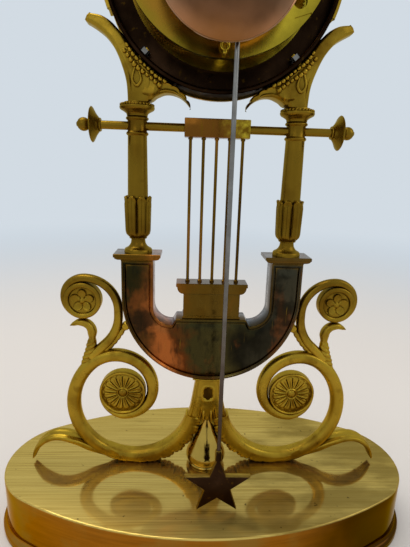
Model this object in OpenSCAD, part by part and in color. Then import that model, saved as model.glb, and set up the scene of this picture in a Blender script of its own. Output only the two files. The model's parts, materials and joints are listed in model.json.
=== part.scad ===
// Lyre mantel clock in gilt bronze: an oval base, two scrolls, a lyre with five strings,
// two columns with leaf capitals, and a round striking movement with a star pendulum.
// The dial faces -Y, the movement and the pendulum are on the +Y side, and Z = 0 is the table.

/* [Base] */
// Width of the oval base
base_w = 260; // [240:1:290]
// Depth of the oval base
base_d = 126; // [116:1:150]
// Radius of the oval's two ends
base_end_r = 40; // [34:1:46]
// Height of the base from the table to its top
base_h = 37; // [32:1:48]
// Thickness of the base's side wall
base_wall = 3; // [2:0.5:5]
// Thickness of the base's top plate
deck_t = 3.5; // [2.5:0.5:6]
// Height of the moulding at the foot of the base
moulding_h = 7; // [5:0.5:10]
// How far the moulding stands out from the wall
moulding_out = 3; // [2:0.5:5]

/* [Scrolls] */
// Gap between the lyre's side and the upper scroll beside it
scroll_gap = 0.5; // [0.4:0.1:3]
// Radius of the large scroll's outer turn
ring_r = 38.3; // [36:0.1:40]
// Thickness of the large scroll
ring_t = 8.6; // [7:0.1:9.5]
// Radius of the turn over the top of the large scroll
curl_r = 22.9; // [21:0.1:24]
// Radius of the innermost turn of the large scroll
eye_r = 19; // [18:0.1:20]
// Thickness of the upper scroll
top_t = 5.4; // [4.5:0.1:6]
// Radius of the upper scroll's large turn
top_r = 20; // [18:0.1:21]
// Radius of the upper scroll's small turn
top_eye_r = 12.2; // [11.5:0.1:13]
// Radius of the large rosettes
big_rosette_r = 14.6; // [13:0.1:15]
// Radius of the small rosettes
small_rosette_r = 11.2; // [10:0.1:11.6]
// Thickness of the rosettes from front to back
rosette_t = 7.4; // [6:0.1:8]
// Diameter of the studs that hold the scrolls and the drop
stud_d = 4; // [3:0.1:5]

/* [Stem and drop] */
// Width of the stem where it meets the lyre
stem_top_w = 15.7; // [13:0.1:18]
// Thickness of the stem from front to back
stem_d = 11; // [9:0.5:13]
// Largest diameter of the pear drop
drop_d = 24; // [20:0.5:27]

/* [Lyre] */
// Outer width of the lyre's bowl and arms
body_w = 106; // [104:0.5:107]
// Width of each arm
arm_w = 18.4; // [16:0.1:20]
// Thickness of the lyre from front to back
body_d = 15; // [13:0.5:18]
// Height of the bowl's centre above the base
bowl_z = 116; // [112:0.5:120]
// Height of the arms' ends above the base
arm_top = 138; // [136:0.5:146]
// Height of the bowl's inside floor above the base
floor_z = 99; // [96:0.5:101]
// Radius of the bowl's inside corners
floor_fillet = 11; // [8:0.5:12]
// Thickness of the lyre's walls
body_wall = 2.2; // [1.6:0.1:3]
// Thickness of the front and back panels
panel_t = 1.6; // [1:0.1:2.5]
// How far the wall's rim stands proud of the panels
rim_h = 0.9; // [0.5:0.1:1.5]
// How far the raised seat reaches past the bridge at each side
seat_out = 2.2; // [1:0.1:4]
// Height of the raised seat
seat_h = 4; // [3:0.5:5]
// Height of the bridge
bridge_h = 21.7; // [18:0.1:24]
// Width of the bridge's top slab
bridge_w = 42.5; // [41:0.5:46]
// Number of strings
string_n = 5; // [3:1:5]
// Diameter of a string
string_d = 1.8; // [1:0.1:2.2]
// Distance between strings
string_pitch = 7.3; // [6.5:0.1:7.6]

/* [Columns and crossbar] */
// How far the plinth cap stands out past the arm at each side
cap_out = 4.3; // [3:0.1:4.8]
// Height of the plinth cap
cap_h = 4; // [3:0.5:6]
// Height of a column from the cap to the collar
column_h = 75; // [70:0.5:80]
// Diameter of the column's shaft
shaft_d = 11.4; // [10:0.1:12]
// Height of the leaf sheath round the column's foot
sheath_h = 23.6; // [18:0.1:26]
// Height of the collar under the capital
collar_h = 7; // [6:0.5:8]
// Largest diameter of the collar
collar_d = 19; // [17:0.5:20]
// Diameter of the crossbar
rod_d = 4.5; // [3.5:0.1:5]
// How far the crossbar runs past the middle of each column
rod_out = 24.7; // [20:0.1:28]
// Diameter of the finials' discs
finial_d = 18.8; // [16:0.1:20]
// Width of the tailpiece that holds the strings
tailpiece_w = 36; // [33:0.5:40]
// Height of the tailpiece
tailpiece_h = 9.9; // [9:0.1:12]
// Thickness of the tailpiece
tailpiece_d = 9; // [8:0.5:11]
// Thickness of the leaf capitals from front to back
bracket_d = 16; // [15:0.5:18]

/* [Drum and dial] */
// Height of the drum's centre above the base
drum_rise = 288; // [286:0.5:290]
// Outer radius of the drum
drum_r = 59.5; // [59:0.1:60]
// Thickness of the drum's wall
drum_wall = 2; // [1.5:0.1:2.5]
// How far the drum reaches in front of the lyre
drum_front = 12; // [11:0.5:14]
// How far the drum reaches behind the lyre
drum_back = 9; // [8.8:0.1:11]
// Thickness of the hoop round the upper part of the drum
hoop_t = 2; // [1:0.1:3]
// Thickness of the dial
dial_t = 1.2; // [0.8:0.1:2]
// Radius of the bezel's opening
bezel_in_r = 50; // [48:0.5:51]
// Depth of the bezel from back to front
bezel_d = 6.5; // [5.5:0.1:8]
// Height of the glass dome
glass_h = 6; // [5:0.1:8]
// Thickness of the glass
glass_t = 1.5; // [1:0.1:2]
// Length of the minute hand
minute_l = 42; // [36:0.5:43]
// Length of the hour hand
hour_l = 28; // [24:0.5:32]

/* [Movement] */
// Radius of the movement's plates
plate_r = 48; // [47:0.1:50]
// Thickness of the plates
plate_t = 2.5; // [2:0.1:3]
// Distance between the plates
plate_gap = 24; // [24:0.5:27]
// Radius of the bell
bell_r = 31; // [28:0.5:32]
// Depth of the bell
bell_depth = 13.6; // [13:0.1:16]
// Thickness of the bell's wall
bell_t = 1.8; // [1.2:0.1:2.2]
// How far the bell's centre lies below the movement's centre
bell_drop = 15; // [14:0.5:18]
// How far the pendulum hangs to one side of the centre line
pendulum_x = -4.5; // [-5:0.1:-4]
// Distance of the pendulum behind the lyre
pendulum_y = 44; // [43.5:0.1:44.5]
// Diameter of the pendulum rod
pendulum_d = 2.2; // [1.6:0.1:2.6]
// Height of the star's centre above the base
star_z = 18.2; // [18:0.1:24]
// Radius of the star's points
star_r = 19.5; // [16:0.1:20]
// Thickness of the star
star_t = 4; // [2:0.5:5]

/* [Hidden] */
$fn = 64;

// Colours of the finishes
gilt = [0.62, 0.50, 0.20];
bright_gilt = [0.83, 0.66, 0.27];
brushed = [0.70, 0.62, 0.36];
patina = [0.33, 0.27, 0.17];
dark = [0.19, 0.15, 0.11];
steel = [0.55, 0.56, 0.58];
blued = [0.10, 0.12, 0.24];
bronze = [0.66, 0.47, 0.36];
enamel = [0.93, 0.92, 0.88];
clear = [0.80, 0.90, 0.92, 0.35];

// Clearances: running fits, fixed fits, and the gaps of parts that pass each other
run_fit = 0.05;
press = 0.02;
pass_gap = 0.3;
beyond = 1;

// Levels from the table up
deck = base_h;
cap_top = arm_top + cap_h;
collar_z = cap_top + column_h;
capital_z = collar_z + collar_h;
rod_z = collar_z - 5;
seat_top = floor_z + seat_h;
bridge_top = seat_top + bridge_h;
mz = deck + drum_rise;

// The lyre's arms carry the columns
column_x = body_w / 2 - arm_w / 2;
cap_w = arm_w + 2 * cap_out;
seat_w = bridge_w + 2 * seat_out;
rod_l = 2 * (column_x + rod_out);
spigot_r = 2.5;
spigot_l = 8;

// Levels from the front to the back of the movement
ledge_y = -8;
flange_t = 2;
flange_y = drum_back - 6.8;
plate_in = flange_y + plate_t;
back_in = plate_in + plate_gap;
back_out = back_in + plate_t;
cock_y = back_out + 6.8;
bell_y = pendulum_y + 4.2;

// Trains: modules, tooth counts and the arbors' places from the movement's centre
great_mod = 0.5;
barrel_teeth = 84;
centre_leaves = 14;
train_mod = 0.4;
centre_teeth = 64;
fine_mod = 0.35;
third_teeth = 60;
leaves = 8;
escape_teeth = 30;
escape_r = 8.5;
motion_mod = 0.5;
cannon_teeth = 10;
minute_teeth = 30;
hour_teeth = 32;
barrel_a = -48;
third_a = 60;
great_d = great_mod * (barrel_teeth + centre_leaves) / 2;
going_at = great_d * [cos(barrel_a), sin(barrel_a)];
strike_at = [-going_at[0], going_at[1]];
third_d = train_mod * (centre_teeth + leaves) / 2;
third_at = third_d * [cos(third_a), sin(third_a)];
escape_d = fine_mod * (third_teeth + leaves) / 2;
escape_at = [0, third_at[1] + sqrt(escape_d ^ 2 - third_at[0] ^ 2)];
motion_d = motion_mod * (cannon_teeth + minute_teeth) / 2;
motion_at = [-motion_d, 0];
pallet_at = [0, 36];
hammer_at = [32, 16];
arbor_r = 1.2;
pivot_r = 0.8;
wind_r = 3;
barrel_r = great_d * sin(90 + barrel_a) - 1.4 + 0.6;
barrel_h = 10;
great_t = 1.6;

// Train levels, from the inner face of the front plate towards the back
going_y = plate_in + 1;
strike_y = going_y + great_t + barrel_h + 3.4;
centre_y = strike_y + great_t + 1.2;
third_y = centre_y + 2.6;
escape_y = plate_in + 17;

// Scroll paths, in X and Z above the base. Places on them are shares of the large scroll's
// radius from its centre, and the upper scroll sets how far the centre is from the lyre.
seat_sink = 0.4;
curl_a = 45;
branch_a = 136;
branch_at = ring_r * [0.684, 0.849];
branch_run = 0.34 * ring_r;
branch_r = 0.68 * ring_r;
branch_rise = 0.078 * ring_r;
branch_turn = branch_at + branch_run * [cos(branch_a), sin(branch_a)]
  - branch_r * [cos(branch_a + 90), sin(branch_a + 90)];
ring_x = body_w / 2 + scroll_gap + top_t / 2 - (branch_turn[0] - branch_r);
ring_c = [ring_x, ring_r + ring_t / 2 - seat_sink];
stem_w = 2 * (ring_x - ring_r) + ring_t;
curl_c = ring_c + (ring_r - curl_r) * [cos(curl_a), sin(curl_a)];
eye_c = curl_c - [curl_r - eye_r, 0];
big_rosette_c = eye_c - [0, 0.15 * big_rosette_r];
ring_path = join([
  arc(ring_c, ring_r, 180, 360 + curl_a, 26),
  arc(curl_c, curl_r, curl_a, 180, 15),
  arc(eye_c, eye_r, 180, 285, 10)
]);
branch_c = ring_c + branch_turn;
top_c = branch_c + [top_r - branch_r, branch_rise];
top_eye_c = top_c + [0, top_r - top_eye_r];
small_rosette_c = top_eye_c + small_rosette_r * [0.09, -0.125];
top_path = join([
  [ring_c + branch_at],
  arc(branch_c, branch_r, branch_a + 90, 180, 7),
  arc(top_c, top_r, 180, 90, 10),
  arc(top_eye_c, top_eye_r, 90, -60, 14)
]);
bud_r = 1.25 * ring_r;
bud_hook_r = 0.17 * ring_r;
bud_hook_c = ring_c + ring_r * [0.825, 1.277];
bud_c = bud_hook_c + [bud_r - bud_hook_r, 0];
bud_path = join([
  arc(bud_c, bud_r, 212, 180, 8),
  arc(bud_hook_c, bud_hook_r, 180, 65, 9),
  [bud_hook_c + bud_hook_r * [1.05, 0.62]]
]);
leaf_path = curve([
  for (share = [
    [0.496, -0.966], [0.736, -0.836], [0.984, -0.684], [1.219, -0.611], [1.428, -0.637],
    [1.611, -0.781], [1.731, -1.037]
  ]) ring_c + ring_r * share
], 4);
brace_a = -21.5;
brace_knob_r = 2.6;
knob_gap = 0.1;
brace_end = [0, bowl_z] + (body_w / 2 + brace_knob_r + knob_gap) * [cos(brace_a), sin(brace_a)];
brace_path = curve([ring_c + ring_r * [0.715, 0.822], ring_c + ring_r * [0.366, 1.07], brace_end], 4);

function lerp(a, b, t) = a + (b - a) * t;
function unit(v) = v / norm(v);
// Points along an arc of n steps from angle a0 to a1
function arc(c, r, a0, a1, n) = [
  for (k = [0:n]) c + r * [cos(lerp(a0, a1, k / n)), sin(lerp(a0, a1, k / n))]
];
// One list from several, without the point that two neighbours share
function join(lists) = [
  for (i = [0:len(lists) - 1])
    for (k = [0:len(lists[i]) - 1])
      if (i == 0 || k > 0 || norm(lists[i][0] - lists[i - 1][len(lists[i - 1]) - 1]) > 0.01) lists[i][k]
];
// Smooth curve through the points, with n steps between neighbours
function curve(p, n) = [
  for (i = [0:len(p) - 2])
    for (k = [0:(i == len(p) - 2 ? n : n - 1)])
      let (
        a = p[max(i - 1, 0)], b = p[i], c = p[i + 1], d = p[min(i + 2, len(p) - 1)],
        t = k / n
      )
      0.5 * (2 * b + (c - a) * t + (2 * a - 5 * b + 4 * c - d) * t ^ 2
        + (3 * b - a - 3 * c + d) * t ^ 3)
];
function tangent(p, i) = unit(p[min(i + 1, len(p) - 1)] - p[max(i - 1, 0)]);

// A tapered bar along a path in X and Z. The tables give half its thickness and half its depth
// by the share of the path.
module swept(path, thick, deep, sides = 10) {
  n = len(path);
  rings = [
    for (i = [0:n - 1])
      let (
        s = i / (n - 1), t = tangent(path, i), a = lookup(s, thick), b = lookup(s, deep)
      )
      for (j = [0:sides - 1])
        let (q = 360 * j / sides)
        [path[i][0] - t[1] * a * cos(q), b * sin(q), path[i][1] + t[0] * a * cos(q)]
  ];
  walls = [
    for (i = [0:n - 2])
      for (j = [0:sides - 1])
        let (k = (j + 1) % sides)
        each [
          [i * sides + j, i * sides + k, (i + 1) * sides + k],
          [i * sides + j, (i + 1) * sides + k, (i + 1) * sides + j]
        ]
  ];
  first = [[for (j = [sides - 1:-1:0]) j]];
  last = [[for (j = [0:sides - 1]) (n - 1) * sides + j]];
  polyhedron(points = rings, faces = concat(walls, first, last), convexity = 6);
}

// A flat shape drawn in X and Z, with its back face at y and its thickness towards the front
module slab(y, t) {
  translate([0, y, 0])
    rotate([90, 0, 0])
      linear_extrude(t)
        children();
}

// A shape turned about a front to back axis. The profile's Y runs from y towards the front.
module turned(y) {
  translate([0, y, 0])
    rotate([90, 0, 0])
      rotate_extrude()
        children();
}

// A round bar from front to back at a place in X and Z
module bar(at, r, y0, y1) {
  translate([at[0], y1, at[1]])
    rotate([90, 0, 0])
      cylinder(r = r, h = y1 - y0);
}

module on_deck() {
  translate([0, 0, deck])
    children();
}

module at_movement() {
  translate([0, 0, mz])
    children();
}

module both_sides() {
  children();
  mirror([1, 0, 0])
    children();
}

// Oval of four arcs: two ends of radius r, and two long sides that meet them smoothly
function side_c(w, d, r) = ((w / 2 - r) ^ 2 - (d / 2 - r) ^ 2) / (d - 2 * r);
function side_r(w, d, r) = d / 2 + side_c(w, d, r);
function end_a(w, d, r) = atan2(side_c(w, d, r), w / 2 - r);

function oval_points(w, d, r) =
  let (a = end_a(w, d, r), end = [w / 2 - r, 0], side = [0, side_c(w, d, r)])
  join([
    arc(end, r, -a, a, 20),
    arc(-side, side_r(w, d, r), a, 180 - a, 40),
    arc(-end, r, 180 - a, 180 + a, 20),
    arc(side, side_r(w, d, r), 180 + a, 360 - a, 40)
  ]);

module oval(w, d, r) {
  points = oval_points(w, d, r);
  polygon([for (i = [0:len(points) - 2]) points[i]]);
}

module base_shell() {
  under = base_h - deck_t;
  color(brushed)
    difference() {
      translate([0, 0, moulding_h])
        linear_extrude(base_h - moulding_h)
          oval(base_w, base_d, base_end_r);
      translate([0, 0, moulding_h - beyond])
        linear_extrude(under - moulding_h + beyond)
          oval(base_w - 2 * base_wall, base_d - 2 * base_wall, base_end_r - base_wall);
      for (x = [-ring_x, 0, ring_x])
        translate([x, 0, under - beyond])
          cylinder(d = stud_d + 2 * press, h = deck_t + 2 * beyond);
    }
}

// Steps of the moulding: the height where each one ends, and how far it stands out, as shares
moulding_steps = [[0.5, 1], [0.68, 0.7], [0.84, 0.4], [1, 0.16]];

module base_moulding() {
  color(brushed)
    difference() {
      for (k = [0:len(moulding_steps) - 1]) {
        out = moulding_out * moulding_steps[k][1];
        linear_extrude(moulding_h * moulding_steps[k][0])
          oval(base_w + 2 * out, base_d + 2 * out, base_end_r + out);
      }
      translate([0, 0, -beyond])
        linear_extrude(moulding_h + 2 * beyond)
          oval(base_w - 2 * base_wall, base_d - 2 * base_wall, base_end_r - base_wall);
    }
}

nut_h = 2.8;
nut_d = 8;
bracket_nut_d = 5.6;
bracket_nut_h = 2.4;
bracket_stud_d = 2.6;
bracket_stud_y = flange_y + 3.2;
bracket_stud_a = -46;
bell_at = [0, -bell_drop];
bell_stud_d = 4;

module nut(d, h, hole) {
  difference() {
    cylinder(d = d, h = h, $fn = 6);
    translate([0, 0, -beyond])
      cylinder(d = hole + 2 * press, h = h + 2 * beyond, $fn = 48);
  }
}

module fixing_nuts() {
  color(steel) {
    for (x = [-ring_x, 0, ring_x])
      translate([x, 0, deck - deck_t - nut_h])
        nut(nut_d, nut_h, stud_d);
    at_movement() {
      for (a = [bracket_stud_a, 180 - bracket_stud_a])
        translate([0, bracket_stud_y, 0])
          rotate([0, -a, 0])
            translate([drum_r - drum_wall - bracket_nut_h - pass_gap, 0, 0])
              rotate([0, 90, 0])
                nut(bracket_nut_d, bracket_nut_h, bracket_stud_d);
      translate([bell_at[0], bell_y + bell_depth, bell_at[1]])
        rotate([-90, 0, 0])
          nut(nut_d, nut_h, bell_stud_d);
    }
  }
}

// The stem's foot is level with the start of the scrolls, and its top follows the bowl
stem_foot = ring_c[1];
stem_cove = 22;

module stem() {
  top = bowl_z - body_w / 2;
  color(gilt)
    on_deck()
      slab(stem_d / 2, stem_d)
        difference() {
          translate([-stem_w / 2, stem_foot])
            square([stem_w, top - stem_foot + 4]);
          for (x = [-1, 1])
            translate([x * (stem_top_w / 2 + stem_cove), top])
              circle(stem_cove);
          for (x = [-1, 1])
            translate([x * stem_w / 2 - (x > 0 ? 0 : stem_cove), top])
              square([stem_cove, stem_cove]);
          translate([0, bowl_z])
            circle(body_w / 2);
        }
}

module pear_drop() {
  r = drop_d / 2;
  color(bright_gilt)
    on_deck()
      rotate_extrude()
        polygon(concat(
          [[0, -deck_t - nut_h - 1], [stud_d / 2, -deck_t - nut_h - 1], [stud_d / 2, 0]],
          [[r - 1, 0], [r - 1, 2.2], [r - 2.5, 3]],
          curve([
            [r - 2, 4], [r, 8.5], [r - 1.8, 14], [r - 5.4, 20], [r - 7.6, 26], [r - 8.5, 31],
            [r - 7, 36], [r - 6.2, 38]
          ], 3),
          [[r - 8, 38.6], [r - 8, stem_foot], [0, stem_foot]]
        ));
}

module scroll_ring() {
  half = ring_t / 2;
  thick = [[0, half], [0.5, half], [0.8, half - 0.8], [1, half - 2]];
  deep = [[0, half], [0.6, half], [1, half - 0.9]];
  color(gilt)
    on_deck() {
      difference() {
        swept(ring_path, thick, deep);
        translate([0, -ring_t, -ring_t])
          cube([2 * ring_x, 2 * ring_t, ring_t]);
      }
      translate([ring_x, 0, -deck_t - nut_h - 1])
        cylinder(d = stud_d, h = deck_t + nut_h + 1 + ring_t / 2);
    }
}

module scroll_ring_right() {
  scroll_ring();
}

module scroll_ring_left() {
  mirror([1, 0, 0])
    scroll_ring();
}

module scroll_top() {
  half = top_t / 2;
  thick = [[0, half + 0.6], [0.3, half], [0.8, half - 0.3], [1, half - 1.4]];
  deep = [[0, half + 0.8], [1, half]];
  color(gilt)
    on_deck()
      swept(top_path, thick, deep);
}

module scroll_top_right() {
  scroll_top();
}

module scroll_top_left() {
  mirror([1, 0, 0])
    scroll_top();
}

module bud_leaves() {
  thick = [[0, 1.6], [0.25, 3.2], [0.6, 2.9], [0.85, 2.2], [1, 0.4]];
  deep = [[0, 2], [0.3, 3.4], [0.85, 3], [1, 0.8]];
  color(gilt)
    on_deck()
      both_sides()
        swept(bud_path, thick, deep, 8);
}

module foot_leaves() {
  thick = [[0, 1.2], [0.2, 2.4], [0.7, 1.7], [1, 0.9]];
  deep = [[0, 2.5], [0.4, 5], [0.8, 4.4], [1, 2]];
  color(gilt)
    on_deck()
      both_sides()
        swept(leaf_path, thick, deep, 8);
}

module braces() {
  thick = [[0, 1.6], [0.4, 2.4], [0.85, 1.8], [1, 1.6]];
  color(gilt)
    on_deck()
      both_sides() {
        swept(brace_path, thick, thick, 8);
        translate([brace_end[0], 0, brace_end[1]])
          sphere(brace_knob_r);
      }
}

// A dished disc with a rim and a round boss, the same on both faces
module rosette(r) {
  half = rosette_t / 2;
  rim = 0.11 * r;
  boss = 0.24 * r;
  turned(0)
    for (face = [0, 1])
      mirror([0, face])
        polygon(concat(
          [[0, 0], [r, 0], [r, half - 0.8], [r - 0.5 * rim, half], [r - rim, half - 0.8]],
          [[1.3 * boss, half - 1.8], [boss, half - 1.4], [0.7 * boss, half - 0.5], [0, half - 0.2]]
        ));
}

module rosettes(c, r) {
  color(gilt)
    on_deck()
      both_sides()
        translate([c[0], 0, c[1]])
          rosette(r);
}

module big_rosettes() {
  rosettes(big_rosette_c, big_rosette_r);
}

module small_rosettes() {
  rosettes(small_rosette_c, small_rosette_r);
}

// The lyre's bowl and arms, drawn in by the same distance all round
module lyre_outline(in) {
  half = body_w / 2 - in;
  gap = body_w / 2 - arm_w + in;
  fillet = floor_fillet + in;
  low = floor_z - in;
  difference() {
    union() {
      intersection() {
        translate([0, bowl_z])
          circle(half);
        translate([-half, bowl_z - half])
          square([2 * half, half]);
      }
      translate([-half, bowl_z])
        square([2 * half, arm_top - in - bowl_z]);
    }
    difference() {
      union() {
        translate([-gap, low + fillet])
          square([2 * gap, 2 * half]);
        translate([-gap + fillet, low])
          square([2 * (gap - fillet), 2 * half]);
        for (x = [-1, 1])
          translate([x * (gap - fillet), low + fillet])
            circle(fillet);
      }
      translate([-seat_w / 2 + in, low - beyond])
        square([seat_w - 2 * in, seat_h + beyond]);
    }
  }
}

module lyre_band() {
  color(patina)
    on_deck()
      difference() {
        slab(body_d / 2, body_d)
          difference() {
            lyre_outline(0);
            lyre_outline(body_wall);
          }
        for (x = [-column_x, column_x])
          translate([x, 0, arm_top - body_wall - beyond])
            cylinder(r = spigot_r + press, h = body_wall + 2 * beyond);
      }
}

module lyre_panel(y) {
  color(patina)
    on_deck()
      slab(y, panel_t)
        lyre_outline(body_wall + press);
}

module lyre_back() {
  lyre_panel(body_d / 2 - rim_h);
}

module lyre_front() {
  lyre_panel(rim_h + panel_t - body_d / 2);
}

// A block with a flat top and hollow curves under its two ends
module corbel(w, h, top, cove, d) {
  slab(d / 2, d)
    difference() {
      translate([-w / 2, 0])
        square([w, h]);
      for (x = [-1, 1]) {
        translate([x * w / 2, h - top - cove])
          circle(cove);
        translate([x * w / 2 - (x > 0 ? cove : 0), -beyond])
          square([cove, h - top - cove + beyond]);
      }
    }
}

cap_d = body_d + 2;
cap_cove = 1.9;

module plinth_caps() {
  color(patina)
    on_deck()
      both_sides()
        translate([column_x, 0, arm_top])
          difference() {
            corbel(cap_w, cap_h, cap_h - cap_cove, cap_cove, cap_d);
            translate([0, 0, -beyond])
              cylinder(r = spigot_r + press, h = cap_h + 2 * beyond);
          }
}

bridge_top_t = 2;
bridge_cove = 4.4;
bridge_d = 12;

module bridge() {
  color(patina)
    on_deck()
      translate([0, 0, seat_top])
        corbel(bridge_w, bridge_h, bridge_top_t, bridge_cove, bridge_d);
}

module strings() {
  color(gilt)
    on_deck()
      for (k = [0:string_n - 1])
        translate([(k - (string_n - 1) / 2) * string_pitch, 0, bridge_top])
          cylinder(d = string_d, h = rod_z - tailpiece_h / 2 - bridge_top);
}

module tailpiece() {
  color(patina)
    on_deck()
      translate([0, 0, rod_z])
        difference() {
          cube([tailpiece_w, tailpiece_d, tailpiece_h], center = true);
          rotate([0, 90, 0])
            cylinder(d = rod_d + 2 * press, h = tailpiece_w + 2 * beyond, center = true);
        }
}

module crossbar() {
  color(gilt)
    on_deck()
      translate([0, 0, rod_z])
        rotate([0, 90, 0])
          cylinder(d = rod_d, h = rod_l, center = true);
}

finial_socket = 5;
finial_ball_r = 3.9;

module finials() {
  r = finial_d / 2;
  hole = rod_d / 2 + press;
  color(gilt)
    on_deck()
      both_sides()
        translate([rod_l / 2 - finial_socket, 0, rod_z])
          rotate([0, 90, 0])
            difference() {
              union() {
                rotate_extrude()
                  polygon([
                    [0, 0], [hole + 1.2, 0], [hole + 1.2, 0.8], [r - 2, 1.6], [r, 2.3],
                    [r - 3.4, 3.8], [hole + 0.6, finial_socket + 0.6], [0, finial_socket + 0.6]
                  ]);
                translate([0, 0, finial_socket + 0.4 + finial_ball_r])
                  sphere(finial_ball_r);
              }
              translate([0, 0, -beyond])
                cylinder(r = hole, h = finial_socket + beyond);
            }
}

// Turned column: foot, neck, the core inside the sheath, shaft and two rings
core_r = 4.5;
neck_h = 9;
ring_gap = 4;

module column() {
  r = shaft_d / 2;
  core_top = neck_h + sheath_h;
  rod_h = column_h - (collar_z - rod_z);
  color(gilt)
    on_deck()
      translate([column_x, 0, cap_top])
        difference() {
          rotate_extrude()
            polygon(concat(
              [[0, -spigot_l], [spigot_r, -spigot_l], [spigot_r, 0], [8.1, 0], [8.1, 1.8]],
              curve([[7.4, 2.4], [5.4, 3.6], [4.1, 6], [4.0, neck_h - 1]], 3),
              [[5, neck_h - 0.6], [core_r, neck_h], [core_r, core_top], [r, core_top]],
              [[r - 0.5, rod_h - ring_gap - 1], [r + 0.7, rod_h - ring_gap - 0.6]],
              [[r + 0.7, rod_h - ring_gap + 0.6], [r - 0.5, rod_h - ring_gap + 1]],
              [[r - 0.5, column_h - 2], [r + 0.6, column_h - 1.6], [r + 0.6, column_h], [0, column_h]]
            ));
          translate([0, 0, rod_h])
            rotate([0, 90, 0])
              cylinder(d = rod_d + 2 * press, h = 4 * r, center = true);
          translate([0, 0, column_h - bracket_tenon + collar_h])
            cylinder(r = spigot_r + press, h = bracket_tenon);
        }
}

module column_right() {
  column();
}

module column_left() {
  mirror([1, 0, 0])
    column();
}

leaf_n = 8;

module sheaths() {
  color(gilt)
    on_deck()
      both_sides()
        translate([column_x, 0, cap_top + neck_h])
          difference() {
            rotate_extrude()
              difference() {
                polygon([
                  [0, 0], [5.1, 0], [7, 1.6], [7.1, 3], [7.7, sheath_h - 3], [7.5, sheath_h - 0.6],
                  [7, sheath_h], [0, sheath_h]
                ]);
                translate([0, -beyond])
                  square([core_r + press, sheath_h + 2 * beyond]);
              }
            for (k = [0:leaf_n - 1])
              rotate([0, 0, 360 * (k + 0.5) / leaf_n])
                translate([7.6, 0, sheath_h])
                  rotate([45, 0, 0])
                    cube([3, 3.2, 3.2], center = true);
          }
}

// The capital's tenon goes through the collar into the column, above the crossbar
bracket_tenon = collar_h + 2;

module collars() {
  r = collar_d / 2;
  color(gilt)
    on_deck()
      both_sides()
        translate([column_x, 0, collar_z])
          rotate_extrude()
            difference() {
              polygon(concat(
                [[0, 0], [5.6, 0]],
                curve([[5.8, 1], [7.2, 2.2], [r - 0.5, 3.2], [r, 4.2]], 3),
                [[r, 5.2], [r - 1.2, collar_h], [0, collar_h]]
              ));
              translate([0, -beyond])
                square([spigot_r + press, collar_h + 2 * beyond]);
            }
}

// Leaf capital: one leaf turns out and up, the other in and down, and the drum lies between
module bracket() {
  outer = curve([
    [4.7, 0], [5.2, 9], [6.6, 17], [8.9, 25], [13, 32.5], [18.4, 36.8], [24.2, 40.2]
  ], 3);
  upper = curve([[24, 41.4], [18.5, 41.6], [12.5, 38], [8, 33.5], [5.2, 31.4]], 3);
  inner = curve([[-19.6, 10.2], [-23.9, 6.6], [-27.6, 2.4], [-29.4, -2.3]], 3);
  lower = curve([[-28.6, -2.4], [-25.6, 1.4], [-21, 4], [-15.5, 4.6], [-10.8, 2.8], [-7, 0]], 3);
  half = bracket_d / 2;
  color(gilt)
    difference() {
      union() {
        on_deck()
          translate([column_x, 0, capital_z])
            intersection() {
              slab(half, bracket_d)
                polygon(concat(outer, upper, inner, lower));
              rotate([90, 0, 90])
                translate([0, 0, -40])
                  linear_extrude(80)
                    polygon([
                      [-half + 1.6, -4], [half - 1.6, -4], [half, 10], [half, 26], [half - 3, 44],
                      [-half + 3, 44], [-half, 26], [-half, 10]
                    ]);
            }
        on_deck()
          translate([column_x, 0, capital_z - bracket_tenon])
            cylinder(r = spigot_r, h = bracket_tenon + 4);
      }
      at_movement()
        bar([0, 0], drum_r, -bracket_d, bracket_d);
    }
  color(gilt)
    at_movement()
      translate([0, bracket_stud_y, 0])
        rotate([0, -bracket_stud_a, 0])
          translate([drum_r - drum_wall - bracket_nut_h - 1, 0, 0])
            rotate([0, 90, 0])
              cylinder(d = bracket_stud_d, h = drum_wall + bracket_nut_h + 4);
}

module bracket_right() {
  bracket();
}

module bracket_left() {
  mirror([1, 0, 0])
    bracket();
}

// Hinge of the bezel, on the side of the drum that is on the right from the front
hinge_r = 2.4;
hinge_pin_r = 1;
hinge_at = [drum_r + 4.5, -drum_front];
knuckle_h = 5.6;
lug_h = 4;

// A hinge knuckle, and the web that ties it to a piece on its left
module knuckle(z, h, web_y, web_t, hole) {
  difference() {
    union() {
      translate([hinge_at[0], hinge_at[1], z])
        cylinder(r = hinge_r, h = h);
      translate([drum_r - 1, web_y, z])
        cube([hinge_at[0] - drum_r + 1, web_t, h]);
    }
    translate([hinge_at[0], hinge_at[1], z - beyond])
      cylinder(r = hole, h = h + 2 * beyond);
  }
}

module drum_case() {
  inner = drum_r - drum_wall;
  color(dark)
    at_movement()
      difference() {
        union() {
          turned(drum_back)
            translate([inner, 0])
              square([drum_wall, drum_back + drum_front]);
          for (z = [-knuckle_h / 2 - pass_gap - lug_h, knuckle_h / 2 + pass_gap])
            difference() {
              knuckle(z, lug_h, hinge_at[1], 3, hinge_pin_r + press);
              bar([0, 0], inner + 0.5, -drum_front - 5, drum_back);
            }
        }
        for (a = [bracket_stud_a, 180 - bracket_stud_a])
          translate([0, bracket_stud_y, 0])
            rotate([0, -a, 0])
              translate([inner - beyond, 0, 0])
                rotate([0, 90, 0])
                  cylinder(d = bracket_stud_d + 2 * press, h = drum_wall + 2 * beyond);
      }
}

// A flat ring inside the drum, with its back face at y
module drum_ring(y, inner_r) {
  color(dark)
    at_movement()
      slab(y, flange_t)
        difference() {
          circle(drum_r - drum_wall - press);
          circle(inner_r);
        }
}

module drum_flange() {
  drum_ring(flange_y, plate_r - 4);
}

module dial_ring() {
  drum_ring(ledge_y + flange_t, bezel_in_r + 2);
}

hoop_a = -21;
hoop_w = 12;

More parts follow.
